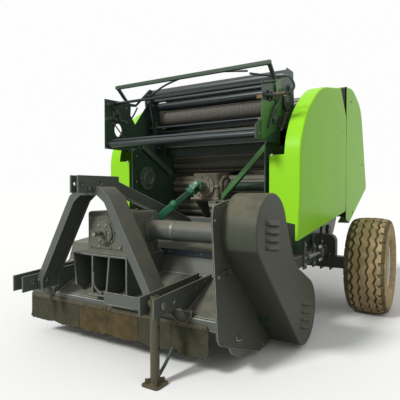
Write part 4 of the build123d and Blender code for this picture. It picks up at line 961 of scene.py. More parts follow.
def louvre(bm, x, start, finish, width, rise, dark):
    """Pressed vent on a face at x: a hood that rises to a lip, and below the lip a mouth strip in painted
    shade.
    """
    part = bmesh.new()
    bmesh.ops.create_grid(part, x_segments=20, y_segments=5, size=0.5)
    lip = [edge for edge in part.edges if all(vert.co.y > 0.499 for vert in edge.verts)]
    begin = at(x, *start)
    run = at(x, *finish) - begin
    down = ACROSS.cross(run.normalized())
    down *= -math.copysign(1, down.z)
    for vert in part.verts:
        u, v = vert.co.x + 0.5, vert.co.y + 0.5
        swell = math.sin(min(1.0, 6 * u, 6 * (1 - u)) * math.pi / 2)
        height = rise * swell * math.sin(v * math.pi / 2)
        vert.co = begin + run * u + down * (v - 0.5) * width + ACROSS * (height + 0.0004)
    bmesh.ops.recalc_face_normals(part, faces=part.faces)
    if sum(face.normal.x for face in part.faces) < 0:
        bmesh.ops.reverse_faces(part, faces=part.faces)
    opened = bmesh.ops.extrude_edge_only(part, edges=lip)["geom"]
    for item in opened:
        if isinstance(item, bmesh.types.BMVert):
            item.co.x = x + 0.0005
            item.co += down * width * 0.28
    # The mouth strip takes the dark finish: painted shade for the open slot.
    shaded_mouths = {item for item in opened if isinstance(item, bmesh.types.BMFace)}
    for face in part.faces:
        face.material_index = dark if face in shaded_mouths else 0
    join(bm, part)


def face_shell(node, x, depth, fold, skin):
    """Sheet pressed from a node's flat face at x: its rim runs back by depth, its bend is soft."""
    bm = copy_node(node)
    others = [face for face in bm.faces if any(abs(vert.co.x - x) > 1e-4 for vert in face.verts)]
    bmesh.ops.delete(bm, geom=others, context="FACES")
    edges = [edge for edge in bm.edges if len(edge.link_faces) == 1]
    pull(bm, edges, (-depth, 0, 0))
    soften(bm, edges, fold, 5)
    thicken(bm, skin, depth)
    return bm


class BALER_OT_guard(Operator):
    """Belt drive's guard: two lobes with a soft rim, pressed vents, latch and bolts"""

    bl_idname = "baler.guard"
    bl_label = "Belt guard"

    def execute(self, context):
        bm = face_shell("belt_guard", GUARD_OUT, GUARD_OUT - GUARD_IN - 0.001, 0.010, 0.003)
        for start, finish in UPPER_VENTS:
            louvre(bm, GUARD_OUT, start, finish, 0.034, 0.017, 2)
        for start, finish in LOWER_VENTS:
            louvre(bm, GUARD_OUT, start, finish, 0.030, 0.015, 2)
        # Latch on the rim, the lower spring clip, and the bolts that hold the guard to its plate.
        block(bm, at(GUARD_IN, -0.735, 0.648), at(GUARD_IN + 0.012, -0.640, 0.664), 0.003, 0)
        block(bm, at(GUARD_IN, -0.660, 0.640), at(GUARD_IN + 0.030, -0.640, 0.672), 0.004, 0)
        side_bolts(bm, GUARD_IN, 1, ((-0.748, 0.640),), 0.012)
        clip = (
            (0.004, -0.535, 0.222), (0.024, -0.520, 0.214), (0.024, -0.490, 0.222), (0.006, -0.478, 0.238),
        )
        bent_rod(bm, [at(GUARD_IN + out, station, z) for out, station, z in clip], 0.004, 1, 2)
        rim = (
            (-0.526, 0.232), (-0.790, 0.960), (-0.640, 1.050), (-0.300, 0.955), (0.270, 0.420),
            (0.285, 0.200), (-0.120, 0.070),
        )
        side_bolts(bm, GUARD_IN, 1, rim, 0.009)
        dress(
            "guard.belts", bm, ("guard enamel", "bolt steel", "painted shade", "belt rubber"), "belt_guard",
        )
        return {"FINISHED"}


# ---- gearboxes and drive shaft -------------------------------------------------------


GEARBOX_SIDES = (-0.445, -0.085)


def splined_stub(bm, start, finish, radius, splines, material):
    """Stub shaft with its splines and a locking groove."""
    axis = (Vector(finish) - Vector(start)).normalized()
    length = (Vector(finish) - Vector(start)).length
    core = radius * 0.84
    profile = (
        (0, 0), (0, core), (length * 0.55, core), (length * 0.57, core * 0.88),
        (length * 0.65, core * 0.88), (length * 0.67, core), (length - 0.004, core), (length, core - 0.003),
        (length, 0),
    )
    turned(bm, profile, start, axis, 36, material)
    side = axis.orthogonal().normalized()
    for index in range(splines):
        turn = Matrix.Rotation(index * math.tau / splines, 3, axis)
        spoke = turn @ side
        for begin, end in ((0.30, 0.56), (0.66, 0.97)):
            low = Vector(start) + axis * length * begin + spoke * core
            high = Vector(start) + axis * length * end + spoke * core
            rod(bm, low, high, radius - core, 6, material=material)


def cross_tube():
    """Flanged cross tube that carries the drive from the header gearbox to the belts."""
    bm = bmesh.new()
    start = at(GEARBOX_SIDES[1], -0.400, 0.845)
    length = 0.645 - start.x
    tube = (
        (0, 0.0), (0, 0.088), (0.014, 0.088), (0.016, 0.086), (0.016, 0.074), (0.022, 0.070),
        (length - 0.024, 0.070), (length - 0.018, 0.074), (length - 0.016, 0.086), (length - 0.014, 0.088),
        (length, 0.088), (length, 0),
    )
    turned(bm, tube, start, ACROSS, 72)
    ring_of_bolts(bm, start + ACROSS * 0.016, ACROSS, 0.079, 8, 0.007, 0.2)
    ring_of_bolts(bm, start + ACROSS * (length - 0.016), -ACROSS, 0.079, 8, 0.007, 0.2)
    band = ((0.20, 0.0704), (0.20, 0.0725), (0.2225, 0.0725), (0.2225, 0.0704))
    turned(bm, band, start, ACROSS, 72, 1)
    dress("tube.cross", bm, ("frame paint", "bolt steel"), "cross_tube")


class BALER_OT_header_gearbox(Operator):
    """Header gearbox: cast box with its front cover, flange, splined stub and plugs"""

    bl_idname = "baler.header_gearbox"
    bl_label = "Header gearbox"

    def execute(self, context):
        x0, x1 = GEARBOX_SIDES
        front, rear = at(0, -0.680, 0).y, at(0, -0.320, 0).y
        bm = bmesh.new()
        block(bm, (x0, front, 0.680), (x1, rear, 0.980), 0.020)
        # Cast foot flange and the raised seat of the front cover.
        block(bm, (x0 - 0.012, front - 0.006, 0.680), (x1 + 0.012, rear + 0.006, 0.702), 0.006)
        block(bm, (x0 + 0.030, front - 0.009, 0.722), (x1 - 0.030, front + 0.01, 0.950), 0.008)
        centre = at(HITCH_X, -0.680, 0.834)
        flange = (
            (0, 0.0), (0, 0.092), (0.006, 0.092), (0.009, 0.080), (0.020, 0.078), (0.024, 0.072),
            (0.024, 0.036), (0.030, 0.034), (0.034, 0.026), (0.034, 0.0),
        )
        turned(bm, flange, centre + FORWARD * 0.006, FORWARD, 64)
        ring_of_bolts(bm, centre + FORWARD * 0.030, FORWARD, 0.058, 6, 0.010, 0.3)
        ring_of_bolts(bm, centre + FORWARD * 0.015, FORWARD, 0.0855, 8, 0.0065, 0.1)
        for x in (x0 + 0.046, x1 - 0.046):
            for z in (0.738, 0.836, 0.934):
                bolt(bm, (x, front - 0.009, z), FORWARD, 0.008, 1)
        for x in (HITCH_X - 0.055, HITCH_X + 0.055):
            for z in (0.738, 0.934):
                bolt(bm, (x, front - 0.009, z), FORWARD, 0.008, 1)
        for x in (x0 + 0.02, x1 - 0.02):
            for share in (0.12, 0.5, 0.88):
                bolt(bm, (x, front + (rear - front) * share, 0.702), UP, 0.010, 1)
        splined_stub(bm, centre + FORWARD * 0.030, centre + FORWARD * 0.119, 0.0174, 6, 2)
        # Filler plug, breather and level plug.
        bolt(bm, (HITCH_X + 0.08, front + 0.09, 0.980), UP, 0.016, 1)
        breather = ((0, 0.012), (0.012, 0.012), (0.014, 0.017), (0.028, 0.017), (0.031, 0.012), (0.031, 0))
        turned(bm, breather, (HITCH_X - 0.09, front + 0.12, 0.980), UP, 20, 1)
        bolt(bm, (x1, front + 0.12, 0.80), ACROSS, 0.012, 1)
        bolt(bm, (x0, front + 0.12, 0.80), -ACROSS, 0.012, 1)
        # Stiffening ribs on the cast flanks.
        for x in (x0, x1):
            for share in (0.22, 0.78):
                y = front + (rear - front) * share
                block(bm, (x - 0.010, y - 0.006, 0.70), (x + 0.010, y + 0.006, 0.955), 0.004)
        dress("gearbox.header", bm, ("painted casting", "bolt steel", "blade steel"), "header_gearbox")
        cross_tube()
        return {"FINISHED"}


class BALER_OT_main_gearbox(Operator):
    """Main gearbox in the bay: dusty casting with bolted rims and bearing caps"""

    bl_idname = "baler.main_gearbox"
    bl_label = "Main gearbox"

    def execute(self, context):
        x0, x1, z0, z1 = -0.110, 0.150, 1.050, 1.265
        front, rear = at(0, 0.150, 0).y, at(0, 0.390, 0).y
        middle = (z0 + z1) / 2
        bm = bmesh.new()
        body = block(bm, (x0 + 0.008, front + 0.008, z0), (x1 - 0.008, rear - 0.008, z1))
        soften(bm, upright_edges(body, 0.1), 0.034, 4, clamp=False)
        round_edges(bm, 0.007, 2, worn=0, keep=lambda edge: edge.calc_face_angle(0) > 1.2)
        # Split flange half way up, foot flange, and its lid on top.
        for base, top, grow in ((middle - 0.011, middle + 0.011, 0.008), (z0, z0 + 0.016, 0.010)):
            block(
                bm, (x0 + 0.008 - grow, front + 0.008 - grow, base),
                (x1 - 0.008 + grow, rear - 0.008 + grow, top), 0.005,
            )
        block(bm, (x0 + 0.03, front + 0.03, z1 - 0.004), (x1 - 0.03, rear - 0.03, z1), 0.0015)
        for x in (x0 + 0.045, (x0 + x1) / 2, x1 - 0.045):
            for y in (front + 0.045, rear - 0.045):
                bolt(bm, (x, y, z1 - 0.0125), UP, 0.009, 1)
        centre = Vector((0.020, front, middle))
        cap = (
            (0, 0), (0, 0.095), (0.010, 0.095), (0.013, 0.090), (0.013, 0.064), (0.022, 0.060),
            (0.022, 0.045), (0.046, 0.043), (0.052, 0.040), (0.052, 0.0),
        )
        turned(bm, cap, centre, FORWARD, 64)
        ring_of_bolts(bm, centre + FORWARD * 0.013, FORWARD, 0.079, 8, 0.010, 0.2)
        flank = Vector((x1, (front + rear) / 2, middle))
        housing = (
            (-0.008, 0), (-0.008, 0.090), (0.012, 0.090), (0.016, 0.086), (0.016, 0.058), (0.030, 0.054),
            (0.035, 0.050), (0.035, 0),
        )
        turned(bm, housing, flank, ACROSS, 64)
        ring_of_bolts(bm, flank + ACROSS * 0.016, ACROSS, 0.073, 6, 0.010, 0.1)
        blank = ((0, 0), (0, 0.070), (0.008, 0.070), (0.012, 0.062), (0.012, 0))
        turned(bm, blank, Vector((x0 + 0.008, (front + rear) / 2, middle)), -ACROSS, 48)
        ring_of_bolts(bm, Vector((x0, (front + rear) / 2, middle)), -ACROSS, 0.060, 6, 0.007, 0.1)
        # Cross shaft to the left side plate, in its tube with a flange.
        length = 0.612 - x1 - 0.035
        shaft = (
            (0, 0), (0, 0.038), (length - 0.012, 0.038), (length - 0.012, 0.062), (length, 0.062),
            (length, 0),
        )
        turned(bm, shaft, flank + ACROSS * 0.035, ACROSS, 48, 2)
        ring_of_bolts(bm, flank + ACROSS * (0.035 + length - 0.012), -ACROSS, 0.051, 4, 0.008, 0.4)
        bolt(bm, (x0 + 0.002, front + 0.06, z0 + 0.05), -ACROSS, 0.012, 1)
        dress("gearbox.main", bm, ("grey casting", "bolt steel", "chamber paint"), "main_gearbox")
        return {"FINISHED"}


def yoke(bm, joint, outward, reach, radius, turn, material=0, steel=1):
    """Fork of a universal joint: its hub, two arms round the cross, and the arms' bearing caps."""
    outward = Vector(outward).normalized()
    side = (turn @ outward.orthogonal()).normalized()
    hub = (
        (reach, 0), (reach, radius * 0.98), (reach * 0.55, radius), (reach * 0.42, radius * 0.86),
        (reach * 0.42, 0),
    )
    turned(bm, hub, joint, outward, 36, material)
    across = side.cross(outward)
    for way in (-1, 1):
        part = bmesh.new()
        place = Matrix((side, across, outward)).transposed().to_4x4()
        place.translation = joint
        cube = bmesh.ops.create_cube(part, size=1, matrix=Matrix.Diagonal((0.017, 0.050, reach * 0.82, 1)))
        bmesh.ops.translate(part, verts=cube["verts"], vec=(way * 0.0355, 0, reach * 0.20))
        for vert in part.verts:
            if vert.co.z > reach * 0.3:
                vert.co.y *= 1.35
                vert.co.x -= way * 0.006
        soften(part, part.edges[:], 0.005, clamp=False)
        bmesh.ops.transform(part, matrix=place, verts=part.verts)
        absorb(bm, part, material)
        rod(bm, joint + side * way * 0.020, joint + side * way * 0.044, 0.016, 20, material=steel)
        rod(bm, joint + side * way * 0.044, joint + side * way * 0.046, 0.012, 20, material=steel)


class BALER_OT_drive_shaft(Operator):
    """Jointed drive shaft between the two gearboxes"""

    bl_idname = "baler.drive_shaft"
    bl_label = "Drive shaft"

    def execute(self, context):
        near = at(-0.265, -0.260, 0.834)
        far = at(0.020, 0.038, 1.1575)
        run = (far - near).normalized()
        length = (far - near).length
        quarter = Matrix.Rotation(math.pi / 2, 3, run)
        bm = bmesh.new()
        for joint, outward, inward in ((near, FORWARD, run), (far, BACK, -run)):
            yoke(bm, joint, outward, 0.060, 0.043, Matrix.Rotation(math.pi / 4, 3, Vector(outward)))
            yoke(bm, joint, inward, 0.085, 0.036, quarter @ Matrix.Rotation(math.pi / 4, 3, inward))
            bmesh.ops.create_icosphere(bm, subdivisions=2, radius=0.024, matrix=Matrix.Translation(joint))
        # Outer and inner square tubes, with the outer's collar and a cross pin.
        place = run.to_track_quat("Z", "Y").to_matrix().to_4x4()
        for begin, end, half, finish in ((0.075 / length, 0.56, 0.026, 0), (0.50, 0.93, 0.021, 2)):
            middle = near.lerp(far, (begin + end) / 2)
            size = Vector((half, half, length * (end - begin) / 2))
            block(bm, middle - size, middle + size, 0.005, finish, place)
        collar = near.lerp(far, 0.55)
        turned(
            bm, ((-0.018, 0.026), (-0.018, 0.036), (0.018, 0.036), (0.020, 0.030), (0.020, 0.024)), collar,
            run, 32, 0,
        )
        bolt(bm, collar + run.orthogonal().normalized() * 0.036, run.orthogonal(), 0.007, 1)
        for share in (0.12, 0.88):
            spot = near.lerp(far, share)
            side = run.cross(UP).normalized()
            rod(bm, spot - side * 0.036, spot + side * 0.036, 0.006, 12, material=1)
        dress("shaft.drive", bm, ("shaft enamel", "bolt steel", "shaft guard"), "drive_shaft")
        return {"FINISHED"}


# ---- ribbed rolls and their chains ---------------------------------------------------

CHAMBER = at(0, 1.345, 1.285)
ROLL_CIRCLE = 0.660
FRONT_ANGLES = (20, 40, 60, 80, 100, 120, 160)
TAIL_ANGLES = (10, 30, 50, 70, 90, 110, 130, 150)
ROLL_HALF = 0.606
SPROCKET_IN = -0.646
TEETH = 12
# Arc of rolls, -1 for the front or 1 for the rear, the rolls' angles, and the arc's body.
ROLL_ARCS = (("front", -1, FRONT_ANGLES, "machine"), ("tail", 1, TAIL_ANGLES, "tail"))


def roll_centre(angle, way):
    """Axis of a roll: angle from straight up, way -1 to the front and 1 to the rear."""
    turn = math.radians(angle)
    return CHAMBER + Vector((0, way * ROLL_CIRCLE * math.sin(turn), ROLL_CIRCLE * math.cos(turn)))


def sprocket(bm, centre, x, width, material):
    """One toothed ring of a double-row sprocket, its teeth chamfered."""
    # Root, flank and tip of half a tooth: share of the tooth's pitch, and radius.
    tooth_form = (
        (-0.5, 0.0505), (-0.30, 0.0515), (-0.14, 0.0585), (-0.05, 0.0620), (0.05, 0.0620), (0.14, 0.0585),
        (0.30, 0.0515),
    )
    outline = [
        on_circle(centre.y - STATION_ZERO, centre.z, radius, math.tau * (tooth + share) / TEETH)
        for tooth in range(TEETH)
        for share, radius in tooth_form
    ]
    part = bmesh.new()
    side_prism(part, outline, x, width)
    rims = [edge for edge in part.edges if abs(edge.verts[0].co.x - edge.verts[1].co.x) < 1e-6]
    soften(part, rims, 0.0016, 1)
    absorb(bm, part, material)


class BALER_OT_rolls(Operator):
    """Bale chamber's ribbed rolls with their end discs, shafts and double-row sprockets"""

    bl_idname = "baler.rolls"
    bl_label = "Ribbed rolls"

    def execute(self, context):
        rib_form = ((0.0, 0.088), (0.34, 0.088), (0.5, 0.100), (0.84, 0.100))
        for name, way, angles, _ in ROLL_ARCS:
            for number, angle in enumerate(angles, 1):
                node = f"{name}_roll_{number}"
                centre = roll_centre(angle, way)
                outline = [
                    on_circle(centre.y - STATION_ZERO, centre.z, radius, math.radians((rib + share) * 45))
                    for rib in range(8)
                    for share, radius in rib_form
                ]
                bm = bmesh.new()
                side_prism(bm, outline, -ROLL_HALF, 2 * ROLL_HALF)
                # Rib tops take the paler rubbed finish: rubbed by straw, and painted paler as a highlight
                # too.
                for face in bm.faces:
                    reach = (face.calc_center_median() - centre).cross(ACROSS).length
                    face.material_index = 1 if len(face.verts) == 4 and reach > 0.092 else 0
                round_edges(
                    bm, 0.0045, 2, 15, keep=lambda edge: abs(edge.verts[0].co.x - edge.verts[1].co.x) > 0.1,
                )
                # End discs, welded in a little way from the roll's ends.
                for x, side in ((-ROLL_HALF, -1), (ROLL_HALF, 1)):
                    hub = ((0, 0), (0, 0.044), (0.003, 0.044), (0.0035, 0.036), (0.0035, 0))
                    turned(bm, hub, Vector((x, centre.y, centre.z)), (side, 0, 0), 28, 2)
                # Shaft with its chamfered ends, out to the right for the sprocket.
                shaft = (
                    (-0.638, 0), (-0.637, 0.022), (-0.634, 0.025), (0.670, 0.025), (0.672, 0.023),
                    (0.672, 0),
                )
                turned(bm, shaft, Vector((0, centre.y, centre.z)), (-1, 0, 0), 24, 3)
                for x in (SPROCKET_IN - 0.002, SPROCKET_IN - 0.015):
                    sprocket(bm, centre, x, -0.008, 2)
                hub = ((0.0, 0.026), (0.0, 0.042), (0.026, 0.042), (0.026, 0.026))
                turned(bm, hub, Vector((SPROCKET_IN, centre.y, centre.z)), (-1, 0, 0), 28, 2)
                bolt(bm, (-0.6715, centre.y, centre.z), (-1, 0, 0), 0.009, 3)
                dress(f"roll.{node}", bm, ("roll flats", "rubbed roll and painted highlight", "chain steel", "bolt steel"), node)
        return {"FINISHED"}


def chain_loop(bm, first, second, x, pitch, radius):
    """Roller chain round two equal sprockets: outer and inner links in turn."""
    span = second - first
    along = span.normalized()
    normal = ACROSS.cross(along)
    straight = span.length
    total = 2 * straight + math.tau * radius
    count = 2 * round(total / pitch / 2)
    step = total / count

    def place(distance):
        distance %= total
        if distance < straight:
            return first + along * distance + normal * radius
        distance -= straight
        if distance < math.pi * radius:
            turn = distance / radius
            return second + normal * radius * math.cos(turn) + along * radius * math.sin(turn)
        distance -= math.pi * radius
        if distance < straight:
            return second - along * distance - normal * radius
        turn = (distance - straight) / radius
        return first - normal * radius * math.cos(turn) - along * radius * math.sin(turn)

    for index in range(count):
        start, finish = place(index * step), place((index + 1) * step)
        link = (finish - start).normalized()
        turn = Matrix((ACROSS, link, ACROSS.cross(link))).transposed().to_4x4()
        half = 0.0058 if index % 2 else 0.0042
        for way in (-1, 1):
            middle = (start + finish) / 2 + ACROSS * (x - start.x + way * half)
            plate = Matrix.Translation(middle) @ turn @ Matrix.Diagonal((0.0014, step * 1.42, 0.0150, 1))
            bmesh.ops.create_cube(bm, size=1, matrix=plate)
        spot = Vector((x, start.y, start.z))
        rod(bm, spot - ACROSS * 0.0068, spot + ACROSS * 0.0068, 0.0052, 6)


class BALER_OT_chains(Operator):
    """Roller chains between neighbouring rolls, in two rows on the right side"""

    bl_idname = "baler.chains"
    bl_label = "Chains"

    def execute(self, context):
        pitch = context.scene.baler_sizes.chain_pitch
        for name, way, angles, body in ROLL_ARCS:
            bm = bmesh.new()
            for number, (near, far) in enumerate(zip(angles, angles[1:])):
                x = SPROCKET_IN - (0.006 if number % 2 else 0.019)
                chain_loop(bm, roll_centre(near, way), roll_centre(far, way), x, pitch, 0.0625)
            finish_piece(f"chains.{name}", bm, body, ("chain steel",), (), 40, False)
        return {"FINISHED"}


# ---- net wrap unit -------------------------------------------------------------------

NET_RIGHT, NET_LEFT = -0.700, 0.645
NET_TURNS = 46  # ridges along the net roll


class BALER_OT_net_unit(Operator):
    """Net wrap unit: net roll on its core, brake roll, and tubes with collars"""

    bl_idname = "baler.net_unit"
    bl_label = "Net wrap unit"

    def execute(self, context):
        span = NET_LEFT - NET_RIGHT
        bm = bmesh.new()
        for station, z, radius in ((-0.190, 1.505, 0.024), (-0.110, 1.862, 0.012)):
            start = at(NET_RIGHT, station, z)
            ends = (
                (0, 0), (0, radius * 1.5), (0.010, radius * 1.5), (0.012, radius), (span - 0.012, radius),
                (span - 0.010, radius * 1.5), (span, radius * 1.5), (span, 0),
            )
            turned(bm, ends, start, ACROSS, 28)
            for x, side in ((NET_LEFT + 0.006, 1), (NET_RIGHT - 0.006, -1)):
                bolt(bm, at(x, station, z), (side, 0, 0), 0.010, 1)
        # Cover tube over the net roll, with its end caps.
        start = at(NET_RIGHT, 0.420, 2.025)
        cap = ((0, 0), (0, 0.050), (0.004, 0.055), (span - 0.004, 0.055), (span, 0.050), (span, 0))
        turned(bm, cap, start, ACROSS, 48)
        dress("net.tubes", bm, ("net tube enamel", "bolt steel"), "net_tubes")
        bm = bmesh.new()
        # Wound net between the side flanges of its core, and the small brake roll above it.
        start = at(NET_RIGHT, 0.450, 1.800)
        net = [(0.0, 0.0), (0.0, 0.028), (0.045, 0.028), (0.045, 0.060)]
        for index in range(NET_TURNS):
            along = 0.046 + (span - 0.092) * index / NET_TURNS
            net += [(along + 0.001, 0.0716), (along + 0.020, 0.0716 if index % 3 else 0.0706)]
        net += [(span - 0.045, 0.060), (span - 0.045, 0.028), (span, 0.028), (span, 0.0)]
        turned(bm, net, start, ACROSS, 48)
        small = (
            (0, 0), (0, 0.014), (0.03, 0.014), (0.03, 0.034), (0.034, 0.038), (span - 0.034, 0.038),
            (span - 0.03, 0.034), (span - 0.03, 0.014), (span, 0.014), (span, 0),
        )
        turned(bm, small, at(NET_RIGHT, 0.440, 1.915), ACROSS, 36, 1)
        dress("net.rolls", bm, ("wound net", "net tube enamel"), "net_rolls", 40)
        return {"FINISHED"}


def side_disc(bm, x, way, station, z, profile, material=0):
    """Turned part on a side plate: profile of (away from the plate, radius)."""
    turned(bm, profile, at(x, station, z), (way, 0, 0), 28, material)


# Sheets and plates of the net wrap unit: outline, x, thickness along X, finish.
NET_SHEETS = (
    # Grey apron over the rolls, folded at both edges.
    (((0.440, 1.622), (0.462, 1.626), (0.466, 1.530), (0.454, 1.526), (0.456, 1.531), (0.461, 1.534),
      (0.457, 1.620)), -0.599, 1.198, 1),
    # Black band below it.
    (((0.467, 1.534), (0.473, 1.534), (0.486, 1.452), (0.474, 1.444), (0.472, 1.449), (0.479, 1.454)),
     -0.599, 1.198, 6),
    # Strips that guide the net between the rolls.
    (((0.520, 1.700), (0.524, 1.700), (0.500, 2.020), (0.470, 2.034), (0.468, 2.030), (0.496, 2.016)),
     -0.620, 1.240, 0),
    (((0.300, 1.655), (0.304, 1.650), (0.500, 1.690), (0.500, 1.694)), -0.620, 1.240, 0),
    # Flat arm inside the right plate, which holds the net's knife.
    (((0.225, 1.960), (0.330, 1.975), (0.430, 1.700), (0.385, 1.560), (0.420, 1.480), (0.380, 1.455),
      (0.315, 1.480), (0.300, 1.600), (0.270, 1.760)), -0.612, 0.008, 0),
    # Upright strip on the outer face of the left plate.
    (((0.093, 1.928), (0.193, 1.950), (0.193, 1.674), (0.093, 1.660)), 0.657, 0.006, 3),
    # Bar in front of the right plate.
    (((-0.236, 1.700), (-0.170, 1.720), (-0.030, 1.720), (0.040, 1.700), (0.040, 1.735), (-0.170, 1.745),
      (-0.236, 1.730)), -0.700, 0.006, 5),
)
NET_CORNER = (
    (0.190, 1.475), (0.600, 1.475), (0.840, 1.700), (0.800, 1.860), (0.640, 1.850), (0.515, 1.730),
    (0.190, 1.600),
)
GREEN_PLATE = (
    (-0.151, 1.725), (-0.140, 1.738), (0.100, 1.772), (0.112, 1.765), (0.112, 1.560), (-0.108, 1.476),
    (-0.151, 1.482),
)
# Bent release rods along the rail, as (x, z) points.
RELEASE_RODS = (
    (
        (-0.372, 1.800), (-0.385, 1.913), (-0.344, 1.876), (-0.283, 1.904), (-0.193, 1.949),
        (-0.012, 1.991), (0.203, 2.004), (0.530, 1.958),
    ),
    ((0.545, 1.938), (0.737, 1.907), (0.799, 1.918), (0.850, 1.814), (0.745, 1.780), (0.655, 1.780)),
)
KNIFE_GEAR = (-0.114, 1.760)


def net_brake(bm, x, way):
    """Gears, brake lever and tension spring on the outer face of one net plate."""
    for station, z, radius in ((0.300, 1.800, 0.058), (0.060, 1.640, 0.034), (0.400, 1.915, 0.040)):
        rim = (
            (0, 0), (0, radius * 0.45), (0.006, radius * 0.5), (0.006, radius), (0.014, radius),
            (0.014, radius * 0.5), (0.024, radius * 0.4), (0.024, 0),
        )
        side_disc(bm, x, way, station, z, rim, 5)
        ring_of_bolts(bm, at(x + way * 0.008, station, z), (way, 0, 0), radius * 0.72, 5, 0.005, 0.2, 2)
        side_bolts(bm, x + way * 0.024, way, ((station, z),), 0.009, 2)
    lever = ((0.012, -0.060, 1.560), (0.014, 0.020, 1.700), (0.014, 0.120, 1.760), (0.020, 0.200, 1.880))
    bent_rod(bm, [at(x + way * out, station, z) for out, station, z in lever], 0.0075)
    coil = []
    for step in range(80):
        turn = step * math.pi / 4
        out, lift = 0.018 + 0.009 * math.cos(turn), 0.009 * math.sin(turn)
        coil.append(at(x + way * out, 0.150 + 0.0022 * turn, 1.560 + 0.0026 * turn + lift))
    bent_rod(bm, coil, 0.0020, 2, 1)
    side_bolts(bm, x, way, ((-0.200, 1.600), (-0.060, 1.530), (0.180, 1.600), (0.480, 1.800)), 0.010, 2)


def knife_gear(bm):
    """Knife gear in front of the right plate, with its hub and short levers."""
    tooth_form = ((0.0, 0.044), (0.3, 0.044), (0.4, 0.053), (0.8, 0.053))
    teeth = [
        on_circle(*KNIFE_GEAR, radius, math.tau * (tooth + share) / 16)
        for tooth in range(16)
        for share, radius in tooth_form
    ]
    side_prism(bm, teeth, -0.698, 0.012, 5)
    side_disc(bm, -0.700, 1, *KNIFE_GEAR, ((0, 0), (0, 0.024), (0.022, 0.022), (0.024, 0.012), (0.024, 0)))
    rod(bm, at(-0.688, -0.170, 1.840), at(-0.688, -0.060, 1.690), 0.009, 14)
    rod(bm, at(-0.697, -0.150, 1.700), at(-0.697, -0.010, 1.580), 0.006, 12, material=2)


class BALER_OT_net_fittings(Operator):
    """Guide sheets, band, bent rods, arms, gears and brake parts of the net wrap unit"""

    bl_idname = "baler.net_fittings"
    bl_label = "Net fittings"

    def execute(self, context):
        bm = bmesh.new()
        for outline, x, thickness, finish in NET_SHEETS:
            side_prism(bm, outline, x, thickness, finish)
        # Thin tubes across the unit.
        for station, z, radius in ((-0.166, 1.541, 0.012), (0.330, 1.702, 0.009), (0.300, 1.940, 0.016)):
            rod(bm, at(NET_RIGHT, station, z), at(NET_LEFT, station, z), radius)
        # Inner plates that close the corners beside the net.
        for x in (-0.620, 0.616):
            side_prism(bm, NET_CORNER, x, 0.004)
        # Strap and pins of the knife's arm.
        block(
            bm, at(-0.604, 0.305, 1.560), at(-0.598, 0.327, 1.760), 0.002, 1,
            Matrix.Rotation(-0.12, 4, "X"),
        )
        side_bolts(bm, -0.604, 1, ((0.280, 1.900), (0.360, 1.720), (0.365, 1.520)), 0.010, 2)
        for path in RELEASE_RODS:
            bent_rod(bm, [at(x, -0.010 if x > 0.7 else -0.110, z) for x, z in path], 0.0078)
        # Outer face of the left plate: lighter green cover plate and the axle in its boss.
        part = bmesh.new()
        side_prism(part, GREEN_PLATE, 0.651, 0.005)
        round_edges(part, 0.0012, 1, worn=0)
        absorb(bm, part, 3)
        rod(bm, at(0.560, -0.010, 1.790), at(0.765, -0.010, 1.790), 0.0155, 24, material=4)
        boss = ((0, 0.0155), (0, 0.040), (0.006, 0.040), (0.010, 0.028), (0.030, 0.026), (0.030, 0.0155))
        side_disc(bm, 0.656, 1, -0.010, 1.790, boss)
        for x, way in ((0.657, 1), (-0.706, -1)):
            net_brake(bm, x, way)
        knife_gear(bm)
        side_bolts(
            bm, -0.700, 1, ((-0.200, 1.520), (-0.205, 1.840), (0.020, 1.840), (0.110, 1.560)), 0.011, 2,
        )
        block(bm, at(-0.700, -0.236, 1.474), at(-0.690, 0.200, 1.484), 0.002, 5)
        finish_names = (
            "net tube enamel", "apron enamel", "bolt steel", "green paint", "bronze bar", "chamber edge and painted highlight",
            "black band",
        )
        finish_piece("net.fittings", bm, "machine", finish_names, angle=35)
        return {"FINISHED"}


# ---- bay walls, cover shields and the axle's fixings ---------------------------------


class BALER_OT_bay_fittings(Operator):
    """Stiffening bars and round bearings of the bay's walls, and shields of painted shade behind the covers
    """

    bl_idname = "baler.bay_fittings"
    bl_label = "Bay fittings"

    def execute(self, context):
        bm = bmesh.new()
        bearing = (
            (0, 0), (0, 0.108), (0.008, 0.108), (0.011, 0.100), (0.011, 0.066), (0.024, 0.060),
            (0.027, 0.050), (0.018, 0.040), (0.018, 0),
        )
        for x, way, start, finish, bearing_z in (
            (-0.600, 1, (0.126, 1.513), (0.560, 1.287), 1.230),
            (0.600, -1, (0.060, 0.980), (0.500, 0.760), 0.640),
        ):
            low, high = at(x + way * 0.004, *start), at(x + way * 0.004, *finish)
            middle = (low + high) / 2
            half = Vector((0.004, (high - low).length / 2, 0.024))
            slant = BACK.rotation_difference((high - low).normalized()).to_matrix().to_4x4()
            block(bm, middle - half, middle + half, 0.0015, 0, slant)
            side_disc(bm, x, way, 0.190, bearing_z, bearing)
            ring_of_bolts(bm, at(x + way * 0.011, 0.190, bearing_z), (way, 0, 0), 0.085, 6, 0.010, 0.2)
            side_bolts(bm, x, way, ((0.040, 1.420), (0.040, 1.200), (0.040, 0.960), (0.040, 0.760)), 0.009)
        # Shields that close the wedge between the covers, in near-black painted shade, on two distance
        # pieces each.
        shield = ((1.040, 1.700), (1.040, 2.000), (1.120, 2.020), (1.335, 1.990), (1.335, 1.700))
        for sign in (1, -1):
            side_prism(bm, shield, sign * 0.748, sign * 0.004, 2)
            for station in (1.100, 1.280):
                rod(bm, at(sign * 0.600, station, 1.760), at(sign * 0.756, station, 1.760), 0.010, 16)
        finish_names = ("chamber edge and painted highlight", "bolt steel", "painted shade")
        finish_piece("bay.fittings", bm, "machine", finish_names)
        return {"FINISHED"}


